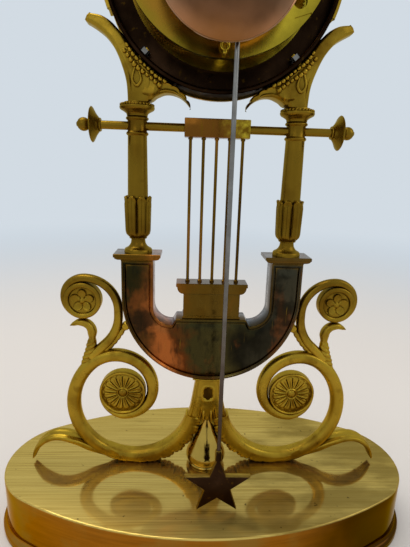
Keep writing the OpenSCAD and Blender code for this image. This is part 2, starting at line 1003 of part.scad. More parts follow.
module drum_hoop() {
  color(gilt)
    at_movement()
      translate([0, drum_back - 1, 0])
        rotate([90, 0, 0])
          rotate_extrude(angle = 180 - 2 * hoop_a, start = hoop_a)
            translate([drum_r, 0])
              square([hoop_t, hoop_w]);
}

dial_hole_r = 4.2;

module dial() {
  r = drum_r - drum_wall - 0.5;
  color(enamel)
    at_movement()
      slab(ledge_y, dial_t)
        difference() {
          circle(r);
          circle(dial_hole_r);
          for (at = [going_at, strike_at])
            translate(at)
              circle(wind_r + 0.6);
        }
}

bezel_y = -drum_front - pass_gap;
glass_seat = 3;
bezel_rebate = 1.6;

module bezel() {
  out = drum_r + 1;
  color(bright_gilt)
    at_movement() {
      turned(bezel_y)
        difference() {
          polygon(concat(
            [[bezel_in_r, 0], [out, 0], [out, 2]],
            curve([[out - 0.4, 2.6], [out - 2, bezel_d - 1], [out - 4, bezel_d]], 3),
            [[bezel_in_r + 2.6, bezel_d - 1], [bezel_in_r, bezel_d - 2]]
          ));
          translate([0, glass_seat])
            square([bezel_in_r + bezel_rebate, bezel_d]);
        }
      difference() {
        knuckle(-knuckle_h / 2, knuckle_h, bezel_y - 3, 3, hinge_pin_r + run_fit);
        bar([0, 0], out - 0.5, bezel_y - bezel_d, bezel_y + beyond);
      }
    }
}

module glass() {
  rim = bezel_in_r + bezel_rebate - press;
  dome_r = (rim ^ 2 + glass_h ^ 2) / (2 * glass_h);
  seat = bezel_y - glass_seat;
  color(clear)
    at_movement()
      turned(seat + dome_r - glass_h)
        intersection() {
          translate([0, dome_r - glass_h])
            square([dome_r, glass_h]);
          difference() {
            circle(dome_r, $fn = 720);
            circle(dome_r - glass_t, $fn = 720);
          }
        }
}

module hinge_pin() {
  reach = knuckle_h / 2 + pass_gap + lug_h;
  color(steel)
    at_movement()
      translate([hinge_at[0], hinge_at[1], -reach - 1])
        cylinder(r = hinge_pin_r, h = 2 * reach + 2);
}

pillar_at = 41;
pillar_r = 3;
tenon_r = 1.8;
tenon_out = 1.2;
pillar_as = [20, 62, 118, 160, 270];

module plate_blank(y) {
  slab(y, plate_t)
    circle(plate_r);
}

// Holes of the arbors that run in both plates
module pivot_holes() {
  for (at = [third_at, escape_at])
    bar(at, pivot_r + run_fit, plate_in - plate_t - beyond, back_out + beyond);
  bar([0, 0], arbor_r + run_fit, plate_in - plate_t - beyond, back_out + beyond);
  for (at = [going_at, strike_at])
    bar(at, wind_r + run_fit, plate_in - plate_t - beyond, back_out + beyond);
  bar(pallet_at, pivot_r + run_fit, plate_in - plate_t - beyond, plate_in + beyond);
}

module front_plate() {
  color(brushed)
    at_movement()
      difference() {
        plate_blank(plate_in);
        pivot_holes();
        for (a = pillar_as)
          bar(pillar_at * [cos(a), sin(a)], tenon_r + press, plate_in - plate_t - beyond, plate_in + beyond);
      }
  color(brushed)
    at_movement()
      bar(motion_at, arbor_r, ledge_y + 3, plate_in - 1);
}

viewing_hole_at = [-33.5, -23];
viewing_hole_r = 3.2;
slot_at = [-35.2, -29];

module back_plate() {
  color(brushed)
    at_movement()
      difference() {
        plate_blank(back_out);
        pivot_holes();
        bar(pallet_at, arbor_r + pass_gap, back_in - beyond, back_out + beyond);
        bar(hammer_at, arbor_r + run_fit, back_in - beyond, back_out + beyond);
        bar(viewing_hole_at, viewing_hole_r, back_in - beyond, back_out + beyond);
        translate([slot_at[0], back_out, slot_at[1]])
          rotate([0, 18, 0])
            cube([8, 1.6, 0.8], center = true);
        for (a = pillar_as)
          bar(pillar_at * [cos(a), sin(a)], tenon_r + press, back_in - beyond, back_out + beyond);
      }
}

module pillars() {
  color(brushed)
    at_movement()
      for (a = pillar_as) {
        at = pillar_at * [cos(a), sin(a)];
        bar(at, tenon_r, plate_in - plate_t, back_out + tenon_out);
        bar(at, pillar_r, plate_in, back_in);
        bar(at, pillar_r + 0.8, plate_in, plate_in + 2);
        bar(at, pillar_r + 0.8, back_in - 2, back_in);
      }
}

// The back cock carries the pallets' rear pivot and the pin that the pendulum hangs from
cock_t = 2.5;
cock_post_x = 9;
hang_pin_r = 1;
hang_head_r = 1.8;
hang_eye_r = 2.6;
hang_eye_t = 3;
hang_at = [pendulum_x, pallet_at[1]];

module back_cock() {
  eye_back = pendulum_y + hang_eye_t / 2 + pass_gap;
  color(brushed)
    at_movement() {
      difference() {
        union() {
          slab(cock_y + cock_t, cock_t)
            translate([-cock_post_x - 3.5, pallet_at[1] - 4])
              square([2 * cock_post_x + 7, 10]);
          for (x = [-cock_post_x, cock_post_x])
            bar([x, pallet_at[1]], 2.2, back_out, cock_y);
        }
        bar(pallet_at, pivot_r + run_fit, cock_y - beyond, cock_y + cock_t + beyond);
      }
      bar(hang_at, hang_pin_r, cock_y + cock_t - 1, eye_back + 0.5);
      bar(hang_at, hang_head_r, eye_back, eye_back + 1);
    }
}

stand_post_x = 18;
stand_r = 2;
stand_shoulder_r = 3.2;
stand_bar_t = 3;
stand_bar_y = bell_y + 2;

module bell_stand() {
  crown = bell_y + bell_depth - bell_t;
  color(steel)
    at_movement() {
      bar([stand_post_x, bell_at[1]], stand_r, back_out, stand_bar_y + stand_bar_t);
      bar([stand_post_x, bell_at[1]], stand_r + 2, back_out, back_out + 2);
      slab(stand_bar_y + stand_bar_t, stand_bar_t)
        translate([0, bell_at[1] - stand_r])
          square([stand_post_x, 2 * stand_r]);
      bar(bell_at, stand_shoulder_r, stand_bar_y, crown);
      bar(bell_at, bell_stud_d / 2, crown - 1, crown + bell_t + nut_h + 0.8);
    }
}

module bell() {
  dome_r = (bell_r ^ 2 + bell_depth ^ 2) / (2 * bell_depth);
  color(bronze)
    at_movement()
      translate([bell_at[0], bell_y + bell_depth - dome_r, bell_at[1]])
        difference() {
          sphere(dome_r, $fn = 120);
          sphere(dome_r - bell_t, $fn = 120);
          translate([-dome_r - beyond, -dome_r - beyond, -dome_r - beyond])
            cube([2 * dome_r + 2 * beyond, 2 * dome_r + beyond - bell_depth, 2 * dome_r + 2 * beyond]);
          bar([0, 0], bell_stud_d / 2 + press, dome_r - bell_t - 2, dome_r + beyond);
          translate([0, dome_r - bell_t - 0.6, 0])
            rotate([-90, 0, 0])
              cylinder(r = stand_shoulder_r + press, h = 0.6);
          translate([0, dome_r, 0])
            rotate([-90, 0, 0])
              translate([0, 0, -0.1])
                cylinder(d = nut_d, h = beyond);
        }
}

hammer_head_r = 4;
hammer_gap = 0.6;
strike_a = 50;
hammer_y = bell_y + 1;

module hammer() {
  head = bell_at + (bell_r + hammer_gap + hammer_head_r) * [cos(strike_a), sin(strike_a)];
  reach = hammer_at - head;
  color(steel)
    at_movement() {
      bar(hammer_at, arbor_r, back_in - 8, hammer_y + 3);
      bar(hammer_at, 2.6, hammer_y, hammer_y + 3);
      bar(head, hammer_head_r, hammer_y - 1, hammer_y + 4);
      translate([head[0], hammer_y + 2.5, head[1]])
        rotate([90, -atan2(reach[1], reach[0]), 0])
          translate([0, -1, 0])
            cube([norm(reach), 2, 2]);
    }
}

// A toothed wheel: root and tip give half a tooth's angle there as a share of the pitch
module toothed(teeth, module_size, add, ded, root, tip, phase) {
  r = teeth * module_size / 2;
  step = 360 / teeth;
  polygon([
    for (k = [0:teeth - 1])
      let (a = phase + k * step)
      each [
        (r - ded * module_size) * [cos(a - root * step), sin(a - root * step)],
        (r + add * module_size) * [cos(a - tip * step), sin(a - tip * step)],
        (r + add * module_size) * [cos(a + tip * step), sin(a + tip * step)],
        (r - ded * module_size) * [cos(a + root * step), sin(a + root * step)]
      ]
  ]);
}

module wheel_teeth(teeth, module_size, phase) {
  toothed(teeth, module_size, 0.7, 1.1, 0.26, 0.1, phase);
}

module leaf_teeth(teeth, module_size, phase) {
  toothed(teeth, module_size, 0.4, 1.2, 0.19, 0.12, phase);
}

// A wheel with four arms inside its rim
module spoked(rim_r, hub_r, arm) {
  difference() {
    children();
    difference() {
      circle(rim_r);
      circle(hub_r);
      for (a = [0, 90])
        rotate(a)
          square([2 * rim_r + beyond, arm], center = true);
    }
  }
}

function mesh_gap(a, teeth) = a + 180 + 180 / teeth;

module at_arbor(at) {
  translate([at[0], 0, at[1]])
    children();
}

module centre_wheel() {
  color(brushed)
    at_movement() {
      slab(going_y + great_t + 0.8, great_t + 1.4)
        leaf_teeth(centre_leaves, great_mod, mesh_gap(barrel_a, centre_leaves));
      slab(centre_y + 1.2, 1.2)
        spoked(centre_teeth * train_mod / 2 - 2, 3, 1.8)
          wheel_teeth(centre_teeth, train_mod, third_a);
      bar([0, 0], arbor_r, motion_y - 13.6, back_out);
    }
}

// Motion work, in front of the front plate
motion_y = flange_y - 1.4;
motion_t = 1.4;
pipe_end = ledge_y - dial_t - 5.2;
cannon_r = 1.75;
hour_pipe_r = 3.2;

module cannon_pinion() {
  color(steel)
    at_movement()
      difference() {
        union() {
          slab(motion_y + 0.4, motion_t + 0.8)
            leaf_teeth(cannon_teeth, motion_mod, mesh_gap(0, cannon_teeth) + 180);
          bar([0, 0], cannon_r, pipe_end, motion_y);
        }
        bar([0, 0], arbor_r + press, pipe_end - beyond, motion_y + 2);
      }
}

module minute_wheel() {
  color(brushed)
    at_movement()
      at_arbor(motion_at)
        difference() {
          union() {
            slab(motion_y, motion_t)
              wheel_teeth(minute_teeth, motion_mod, 0);
            slab(motion_y - motion_t, 3.2)
              leaf_teeth(leaves, motion_mod, mesh_gap(180, leaves));
          }
          bar([0, 0], arbor_r + run_fit, motion_y - 8, motion_y + 2);
        }
}

module hour_wheel() {
  color(brushed)
    at_movement()
      difference() {
        union() {
          slab(motion_y - motion_t - 0.8, 1.4)
            wheel_teeth(hour_teeth, motion_mod, 180);
          bar([0, 0], hour_pipe_r, ledge_y - dial_t - 2.4, motion_y - motion_t - 1);
        }
        bar([0, 0], cannon_r + run_fit, pipe_end, motion_y);
      }
}

// A hand with a ring near its tip and a pointed end
module hand(length, hub_r, hole, ring, w) {
  eye = 0.72 * length;
  difference() {
    union() {
      circle(hub_r);
      translate([-w / 2, 0])
        square([w, eye]);
      translate([0, eye])
        circle(ring);
      polygon([[-w, eye], [w, eye], [0, length]]);
    }
    circle(hole);
    translate([0, eye])
      circle(ring - 0.8);
  }
}

hand_t = 0.7;
hour_set = -54;
minute_set = 72;

module minute_hand() {
  color(blued)
    at_movement()
      slab(pipe_end + 1.2, hand_t)
        rotate(minute_set)
          hand(minute_l, 3, cannon_r + press, 2.6, 1.5);
}

module hour_hand() {
  color(blued)
    at_movement()
      slab(ledge_y - dial_t - 1.4, hand_t)
        rotate(hour_set)
          hand(hour_l, 5, hour_pipe_r + press, 3.2, 1.9);
}

// A barrel with its great wheel at the front or the back
module barrel(at, wheel_y, drum_y, phase) {
  color(brushed)
    at_movement()
      at_arbor(at)
        difference() {
          union() {
            slab(wheel_y + great_t, great_t)
              wheel_teeth(barrel_teeth, great_mod, phase);
            bar([0, 0], barrel_r, drum_y, drum_y + barrel_h);
          }
          bar([0, 0], wind_r + run_fit, plate_in, back_in);
        }
}

module going_barrel() {
  barrel(going_at, going_y, going_y + great_t, barrel_a + 180);
}

module strike_barrel() {
  barrel(strike_at, strike_y, strike_y - barrel_h, 0);
}

// A winding arbor, with a square for the key behind its hole in the dial
key_square = 4;

module winding_arbor(at) {
  color(steel)
    at_movement()
      at_arbor(at) {
        bar([0, 0], wind_r, flange_y - 2, back_out);
        slab(flange_y - 1, flange_y - ledge_y + dial_t)
          square(key_square, center = true);
      }
}

module going_arbor() {
  winding_arbor(going_at);
}

module strike_arbor() {
  winding_arbor(strike_at);
}

module third_wheel() {
  to_escape = atan2(escape_at[1] - third_at[1], escape_at[0] - third_at[0]);
  color(brushed)
    at_movement()
      at_arbor(third_at) {
        slab(centre_y + 2, 2.8)
          leaf_teeth(leaves, train_mod, mesh_gap(third_a, leaves));
        slab(third_y + 1, 1)
          spoked(third_teeth * fine_mod / 2 - 1.6, 2.4, 1.4)
            wheel_teeth(third_teeth, fine_mod, to_escape);
        bar([0, 0], pivot_r, plate_in - plate_t, back_out);
      }
}

module escape_wheel() {
  to_escape = atan2(escape_at[1] - third_at[1], escape_at[0] - third_at[0]);
  step = 360 / escape_teeth;
  color(brushed)
    at_movement()
      at_arbor(escape_at) {
        slab(third_y + 1.6, 2.2)
          leaf_teeth(leaves, fine_mod, mesh_gap(to_escape, leaves));
        slab(escape_y + 0.8, 0.8)
          spoked(escape_r - 2.4, 2, 1.2)
            polygon([
              for (k = [0:escape_teeth - 1])
                each [
                  escape_r * [cos(k * step), sin(k * step)],
                  (escape_r - 1.5) * [cos((k + 0.3) * step), sin((k + 0.3) * step)],
                  (escape_r - 1.5) * [cos((k + 0.75) * step), sin((k + 0.75) * step)]
                ]
            ]);
        bar([0, 0], pivot_r, plate_in - plate_t, back_out);
      }
}

// The anchor's nibs stay clear of the escape wheel's tips over the whole swing
nib_r = escape_r + 1.1;
nib_a = 45;

module pallets() {
  drop = pallet_at[1] - escape_at[1];
  color(steel)
    at_movement()
      at_arbor(pallet_at) {
        slab(escape_y + 1.6, 2.4) {
          circle(2.6);
          for (x = [-1, 1])
            polygon([
              [0, 1.2], [x * 1.2, 0.6],
              [x * (nib_r + 1.6) * sin(nib_a), (nib_r + 1.6) * cos(nib_a) - drop],
              [x * nib_r * sin(nib_a), nib_r * cos(nib_a) - drop],
              [x * 1, -2.2]
            ]);
        }
        bar([0, 0], pivot_r, plate_in - plate_t, cock_y + cock_t);
      }
}

// The crutch's fork holds the pendulum rod, and its tail ends in a ring and a ball
crutch_y = back_out + 3;
crutch_d = 1.8;
fork_z = -36;
fork_gap = 0.25;
fork_pin_r = 0.7;
tail_z = -41.4;
tail_ring_r = 1.7;
tail_wire_r = 0.55;

module crutch() {
  pin_x = pendulum_d / 2 + fork_gap + fork_pin_r;
  bar_y = pendulum_y - 6;
  color(brushed)
    at_movement() {
      difference() {
        bar(pallet_at, 3, crutch_y - 1.2, crutch_y + 1.2);
        bar(pallet_at, pivot_r + press, crutch_y - 2, crutch_y + 2);
      }
      translate([0, crutch_y, tail_z])
        cylinder(d = crutch_d, h = pallet_at[1] - 2.4 - tail_z);
      translate([0, crutch_y, tail_z - tail_ring_r])
        rotate([90, 0, 0])
          rotate_extrude()
            translate([tail_ring_r, 0])
              circle(tail_wire_r);
      translate([0, crutch_y, tail_z - 2 * tail_ring_r - 1.1])
        sphere(1);
      bar([0, fork_z], 0.8, crutch_y, bar_y + 1);
      translate([pendulum_x - pin_x - 0.8, bar_y, fork_z - 0.8])
        cube([pin_x + 0.8 - pendulum_x + 0.8, 1.6, 1.6]);
      for (x = [-pin_x, pin_x])
        bar([pendulum_x + x, fork_z], fork_pin_r, bar_y + 0.8, pendulum_y + 3);
    }
}

// The pendulum's eye hangs on the cock's pin, and its star is fixed by a ferrule
ferrule_h = 6;
ferrule_r = 2;

module pendulum_rod() {
  foot = deck + star_z + star_r - 1;
  eye = mz + hang_at[1];
  color(steel)
    difference() {
      union() {
        translate([pendulum_x, pendulum_y, foot])
          cylinder(d = pendulum_d, h = eye - foot);
        at_movement()
          bar(hang_at, hang_eye_r, pendulum_y - hang_eye_t / 2, pendulum_y + hang_eye_t / 2);
      }
      at_movement()
        bar(hang_at, hang_pin_r + run_fit, pendulum_y - hang_eye_t, pendulum_y + hang_eye_t);
    }
}

module star() {
  inner = 0.4 * star_r;
  color(dark)
    translate([pendulum_x, 0, deck + star_z])
      difference() {
        union() {
          slab(pendulum_y + star_t / 2, star_t)
            polygon([
              for (k = [0:4])
                each [
                  star_r * [cos(90 + 72 * k), sin(90 + 72 * k)],
                  inner * [cos(126 + 72 * k), sin(126 + 72 * k)]
                ]
            ]);
          translate([0, pendulum_y, star_r - 3])
            cylinder(r = ferrule_r, h = ferrule_h);
        }
        translate([0, pendulum_y, star_r - 1])
          cylinder(d = pendulum_d + 2 * press, h = ferrule_h);
      }
}

base_shell();
base_moulding();
fixing_nuts();
stem();
pear_drop();
scroll_ring_left();
scroll_ring_right();
scroll_top_left();
scroll_top_right();
bud_leaves();
foot_leaves();
braces();
big_rosettes();
small_rosettes();
lyre_band();
lyre_back();
lyre_front();
plinth_caps();
bridge();
strings();
tailpiece();
crossbar();
finials();
column_left();
column_right();
sheaths();
collars();
bracket_left();
bracket_right();
drum_case();
drum_flange();
dial_ring();
drum_hoop();
dial();
bezel();
glass();
hinge_pin();
front_plate();
back_plate();
pillars();
back_cock();
bell_stand();
bell();
hammer();
centre_wheel();
cannon_pinion();
minute_hand();
minute_wheel();
hour_wheel();
hour_hand();
going_barrel();
going_arbor();
strike_barrel();
strike_arbor();
third_wheel();
escape_wheel();
pallets();
crutch();
pendulum_rod();
star();
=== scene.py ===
"""Looks of a lyre mantel clock: modelled ornaments and metal finishes round the fixed frame."""

import json
import math

import bmesh
import bpy
from mathutils import Matrix, Vector


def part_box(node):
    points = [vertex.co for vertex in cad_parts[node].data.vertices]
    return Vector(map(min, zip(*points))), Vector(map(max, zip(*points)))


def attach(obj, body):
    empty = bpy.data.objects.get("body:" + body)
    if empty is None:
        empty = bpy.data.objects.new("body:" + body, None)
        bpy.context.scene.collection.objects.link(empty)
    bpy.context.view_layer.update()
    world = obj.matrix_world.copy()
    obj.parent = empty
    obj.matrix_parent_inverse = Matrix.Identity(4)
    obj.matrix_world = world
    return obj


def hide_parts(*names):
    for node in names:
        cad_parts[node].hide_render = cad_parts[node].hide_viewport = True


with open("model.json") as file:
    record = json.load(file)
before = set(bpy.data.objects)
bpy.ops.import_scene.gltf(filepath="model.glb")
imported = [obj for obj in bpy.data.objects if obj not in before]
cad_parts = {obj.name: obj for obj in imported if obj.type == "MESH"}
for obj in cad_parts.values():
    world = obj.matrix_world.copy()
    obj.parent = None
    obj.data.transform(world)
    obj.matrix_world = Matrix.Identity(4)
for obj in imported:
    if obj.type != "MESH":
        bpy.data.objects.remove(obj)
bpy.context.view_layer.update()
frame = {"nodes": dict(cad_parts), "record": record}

bl_info = {
    "name": "Lyre Clock Looks",
    "version": (1, 0, 0),
    "blender": (4, 5, 0),
    "location": "View3D > Sidebar > Lyre Clock",
    "description": "Dresses the frame of a gilt lyre clock with its ornaments and finishes",
    "category": "Object",
}

# Shapes are drawn in millimetres and brought to metres when a piece is finished
MM = 0.001
WELD = 0.002


def corners(node):
    """Lowest and highest corners of a frame node, in millimetres"""
    low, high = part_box(node)
    return Vector(low) / MM, Vector(high) / MM


# Levels and sizes taken from the frame
BASE_LOW, BASE_HIGH = corners("base_shell")
FOOT_HIGH = corners("base_moulding")[1]
LYRE_LOW, LYRE_HIGH = corners("lyre_band")
CAP_LOW, CAP_HIGH = corners("plinth_caps")
BRIDGE_LOW, BRIDGE_HIGH = corners("bridge")
TAIL_LOW, TAIL_HIGH = corners("tailpiece")
ROD_LOW, ROD_HIGH = corners("crossbar")
COLUMN_LOW, COLUMN_HIGH = corners("column_right")
SHEATH_LOW, SHEATH_HIGH = corners("sheaths")
COLLAR_LOW, COLLAR_HIGH = corners("collars")
FINIAL_LOW, FINIAL_HIGH = corners("finials")
RING_LOW, RING_HIGH = corners("scroll_ring_right")
DRUM_LOW, DRUM_HIGH = corners("drum_flange")
BELL_LOW, BELL_HIGH = corners("bell")
BEZEL_LOW, BEZEL_HIGH = corners("bezel")
GLASS_LOW, GLASS_HIGH = corners("glass")
DIAL_LOW = corners("dial")[0]
STAR_LOW, STAR_HIGH = corners("star")
DECK = BASE_HIGH.z
COLUMN_X = (COLUMN_LOW.x + COLUMN_HIGH.x) / 2
MOVEMENT_Z = (DRUM_LOW.z + DRUM_HIGH.z) / 2
BODY_OF = {
    node: body
    for body, nodes in frame["record"]["behaviour"]["bodies"].items()
    for node in nodes
}
SLOT_OF = {row["node"]: row["material_slot"] for row in frame["record"]["subparts"]}
# The made materials, by the names of their finishes
FINISH_OF = {}


# Curves and tables

def heading(degrees):
    """A unit step in a direction of a plane"""
    angle = math.radians(degrees)
    return Vector((math.cos(angle), math.sin(angle)))


def arc(centre, radius, start, end, steps):
    """Points along an arc in a plane, with its angles in degrees"""
    turns = [start + (end - start) * step / steps for step in range(steps + 1)]
    return [Vector(centre) + radius * heading(turn) for turn in turns]


def line(start, end, steps):
    """Evenly spaced points from one place to another"""
    return [Vector(start).lerp(Vector(end), step / steps) for step in range(steps + 1)]


def chain(*runs):
    """One run of points from several, without the points of a run that meet the end before it"""
    points = list(runs[0])
    for run in runs[1:]:
        points += [point for point in run if (point - points[-1]).length > WELD]
    return points


def curve_through(points, steps):
    """A smooth curve through points, with equal steps between neighbours"""
    spots = [Vector(point) for point in points]
    last = len(spots) - 1
    run = []
    for index in range(last):
        a, b = spots[max(index - 1, 0)], spots[index]
        c, d = spots[index + 1], spots[min(index + 2, last)]
        for step in range(steps):
            t = step / steps
            run.append(0.5 * (2 * b + (c - a) * t + (2 * a - 5 * b + 4 * c - d) * t ** 2
                              + (3 * b - a - 3 * c + d) * t ** 3))
    return run + [spots[-1]]


def raised(points, rise):
    """The same points of a plane, moved up"""
    return [Vector((point[0], point[1] + rise)) for point in points]


def shares_of(points):
    """How far along the run each point lies, from 0 to 1"""
    reach = [0.0]
    for before, after in zip(points, points[1:]):
        reach.append(reach[-1] + (after - before).length)
    return [value / reach[-1] for value in reach]


def even_points(points, count):
    """The same run with evenly spaced points"""
    shares = shares_of(points)
    run = []
    index = 0
    for step in range(count + 1):
        share = step / count
        while index < len(shares) - 2 and shares[index + 1] < share:
            index += 1
        span = shares[index + 1] - shares[index]
        part = (share - shares[index]) / span if span else 0.0
        run.append(points[index].lerp(points[index + 1], part))
    return run


def look_up(table, share):
    """A value between the rows of a table of shares and values"""
    for (low, a), (high, b) in zip(table, table[1:]):
        if share <= high:
            return a + (b - a) * max(share - low, 0.0) / (high - low)
    return table[-1][1]


def hump(value, centre, width):
    """A smooth rise to 1 at the centre, and about 0 from two widths away"""
    return math.exp(-((value - centre) / width) ** 2)


def from_middle(value):
    """Place within a repeat, from -0.5 to 0.5, with 0 in its middle"""
    return value % 1.0 - 0.5


# Mesh tools

def added(bm, before):
    """The vertices that are new since the set was taken"""
    return [vert for vert in bm.verts if vert not in before]


def wrap(bm, across, along, place):
    """Adds a grid of faces and moves each vertex to place(u, v), both from 0 to 1"""
    grid = bmesh.ops.create_grid(bm, x_segments=across, y_segments=along, size=0.5)
    for vert in grid["verts"]:
        vert.co = place(vert.co.x + 0.5, vert.co.y + 0.5)


def close_up(bm):
    """Joins the seams and fills the open ends"""
    bmesh.ops.remove_doubles(bm, verts=bm.verts, dist=WELD)
    rims = [edge for edge in bm.edges if edge.is_boundary]
    bmesh.ops.holes_fill(bm, edges=rims, sides=0)


def rounded(angle, thick, deep, power):
    """A point of a rounded section: 1 gives an oval, less gives flatter sides"""
    side, face = math.cos(angle), math.sin(angle)
    return (thick * math.copysign(abs(side) ** power, side),
            deep * math.copysign(abs(face) ** power, face))


def sweep(bm, path, thick, deep, sides, relief=None, power=0.8):
    """A tapered bar along a path in X and Z, with tables of half its thickness and depth.
    relief(share, angle) gives extra heights across the path and towards the faces."""
    last = len(path) - 1
    shares = shares_of(path)

    def place(u, v):
        spot = round(u * last)
        angle = 2 * math.pi * v
        ahead = (path[min(spot + 1, last)] - path[max(spot - 1, 0)]).normalized()
        a, b = look_up(thick, shares[spot]), look_up(deep, shares[spot])
        across, face = rounded(angle, a, b, power)
        if relief:
            more = relief(shares[spot], angle)
            across += more[0]
            face += more[1] * max(min(2 * face / b, 1.0), -1.0)
        return Vector((path[spot].x - ahead.y * across, face, path[spot].y + ahead.x * across))

    wrap(bm, last, sides, place)
    close_up(bm)


def between(bm, left, right, deep, sides, relief, power):
    """A rounded body that fills the space between two runs of as many points in X and Z.
    relief(share, across) gives extra heights towards the faces."""
    last = len(left) - 1

    def place(u, v):
        spot = round(u * last)
        share = spot / last
        angle = 2 * math.pi * v
        b = look_up(deep, share)
        across, face = rounded(angle, 1.0, b, power)
        face += relief(share, across) * max(min(2 * face / b, 1.0), -1.0)
        middle = (left[spot] + right[spot]) / 2
        reach = (right[spot] - left[spot]) / 2
        return Vector((middle.x + reach.x * across, face, middle.y + reach.y * across))

    wrap(bm, last, sides, place)
    close_up(bm)


def lathe(bm, profile, place, steps):
    """Spins a profile of radius and height pairs, and moves what it makes by the matrix"""
    before = set(bm.verts)
    verts = [bm.verts.new((radius, 0.0, height)) for radius, height in profile]
    edges = [bm.edges.new(pair) for pair in zip(verts, verts[1:])]
    bmesh.ops.spin(bm, geom=verts + edges, axis=(0, 0, 1), cent=(0, 0, 0), angle=2 * math.pi,
                   steps=steps, use_merge=True)
    bmesh.ops.transform(bm, matrix=place, verts=added(bm, before))


def peg(bm, radius, low, high, place, steps=24):
    """A plain round peg between two heights"""
    lathe(bm, [(0, low), (radius, low), (radius, high), (0, high)], place, steps)


def upright(x, z, y=0.0):
    """Places a turned shape with its axis upwards"""
    return Matrix.Translation((x, y, z))


def to_back(x, z, y=0.0):
    """Places a turned shape with its axis towards +Y"""
    return Matrix.Translation((x, y, z)) @ Matrix.Rotation(-math.pi / 2, 4, "X")


def to_front(x, z, y=0.0):
    """Places a turned shape with its axis towards -Y"""
    return Matrix.Translation((x, y, z)) @ Matrix.Rotation(math.pi / 2, 4, "X")


def to_side(x, z):
    """Places a turned shape with its axis towards +X"""
    return Matrix.Translation((x, 0, z)) @ Matrix.Rotation(math.pi / 2, 4, "Y")


def plate(bm, outline, back, front, bevel, segments=2):
    """A flat plate with an outline in X and Z between two Y levels, with rounded edges"""
    before = set(bm.verts)
    face = bm.faces.new([bm.verts.new((point[0], front, point[1])) for point in outline])
    grown = bmesh.ops.extrude_face_region(bm, geom=[face], use_keep_orig=True)
    lifted = [part for part in grown["geom"] if isinstance(part, bmesh.types.BMVert)]
    bmesh.ops.translate(bm, vec=(0, back - front, 0), verts=lifted)
    if bevel:
        edges = {edge for vert in added(bm, before) for edge in vert.link_edges}
        rims = [edge for edge in edges if abs(edge.verts[0].co.y - edge.verts[1].co.y) < WELD]
        bmesh.ops.bevel(bm, geom=rims, offset=bevel, offset_type="OFFSET", segments=segments,
                        profile=0.5, affect="EDGES", material=-1)


def block(bm, low, high, bevel):
    """A box between two corners with rounded edges"""
    middle = (Vector(low) + Vector(high)) / 2
    size = Vector(high) - Vector(low)
    place = Matrix.Translation(middle) @ Matrix.Diagonal((*size, 1.0))
    made = bmesh.ops.create_cube(bm, size=1.0, matrix=place)
    edges = list({edge for vert in made["verts"] for edge in vert.link_edges})
    bmesh.ops.bevel(bm, geom=edges, offset=bevel, offset_type="OFFSET", segments=2,
                    profile=0.5, affect="EDGES", material=-1)


def ball(bm, place, radius):
    """A small round bead"""
    bmesh.ops.create_uvsphere(bm, u_segments=12, v_segments=6, radius=radius,
                              matrix=Matrix.Translation(place))


def add_mirror(bm):
    """Adds the mirror image of everything in the mesh"""
    whole = bm.verts[:] + bm.edges[:] + bm.faces[:]
    bmesh.ops.mirror(bm, geom=whole, matrix=Matrix(), merge_dist=0.0, axis="X")


def flip(bm):
    """Turns the mesh into its own mirror image"""
    bmesh.ops.scale(bm, vec=(-1, 1, 1), verts=bm.verts)


def finish_piece(bm, name, node, stands_in=True, finish=None, sharp=38):
    """Makes the mesh an object that rides with the node's body and, if it stands in, hides the node.
    It wears the node's finish unless it has one of its own."""
    bmesh.ops.remove_doubles(bm, verts=bm.verts, dist=WELD)
    bmesh.ops.recalc_face_normals(bm, faces=bm.faces)
    bmesh.ops.scale(bm, vec=(MM, MM, MM), verts=bm.verts)
    mesh = bpy.data.meshes.new(name)
    bm.to_mesh(mesh)
    bm.free()
    mesh.shade_smooth()
    mesh.set_sharp_from_angle(angle=math.radians(sharp))
    mesh.materials.append(FINISH_OF[finish or SLOT_OF[node]])
    piece = bpy.data.objects.new(name, mesh)
    bpy.context.scene.collection.objects.link(piece)
    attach(piece, BODY_OF[node])
    if stands_in:
        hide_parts(node)


def both_sides(name, node, make, sharp=38):
    """A piece for the right side and its mirror image for the left, each from make(bm)"""
    for side in ("right", "left"):
        bm = bmesh.new()
        make(bm)
        if side == "left":
            flip(bm)
        finish_piece(bm, name + "_" + side, node + "_" + side, sharp=sharp)


# Sizes and colours that a user would change

def length(name, description, default):
    """A size property, given in millimetres and kept in metres"""
    return bpy.props.FloatProperty(name=name, description=description, default=default * MM,
                                   min=0.0, unit="LENGTH", precision=5)


def count(name, description, default, low):
    """A whole number property"""
    return bpy.props.IntProperty(name=name, description=description, default=default, min=low)


def colour(name, description, red, green, blue):
    """A colour property, given as screen values from 0 to 255"""
    linear = [((value / 255 + 0.055) / 1.055) ** 2.4 for value in (red, green, blue)]
    return bpy.props.FloatVectorProperty(name=name, description=description, subtype="COLOR",
                                         size=3, min=0.0, max=1.0, default=linear)


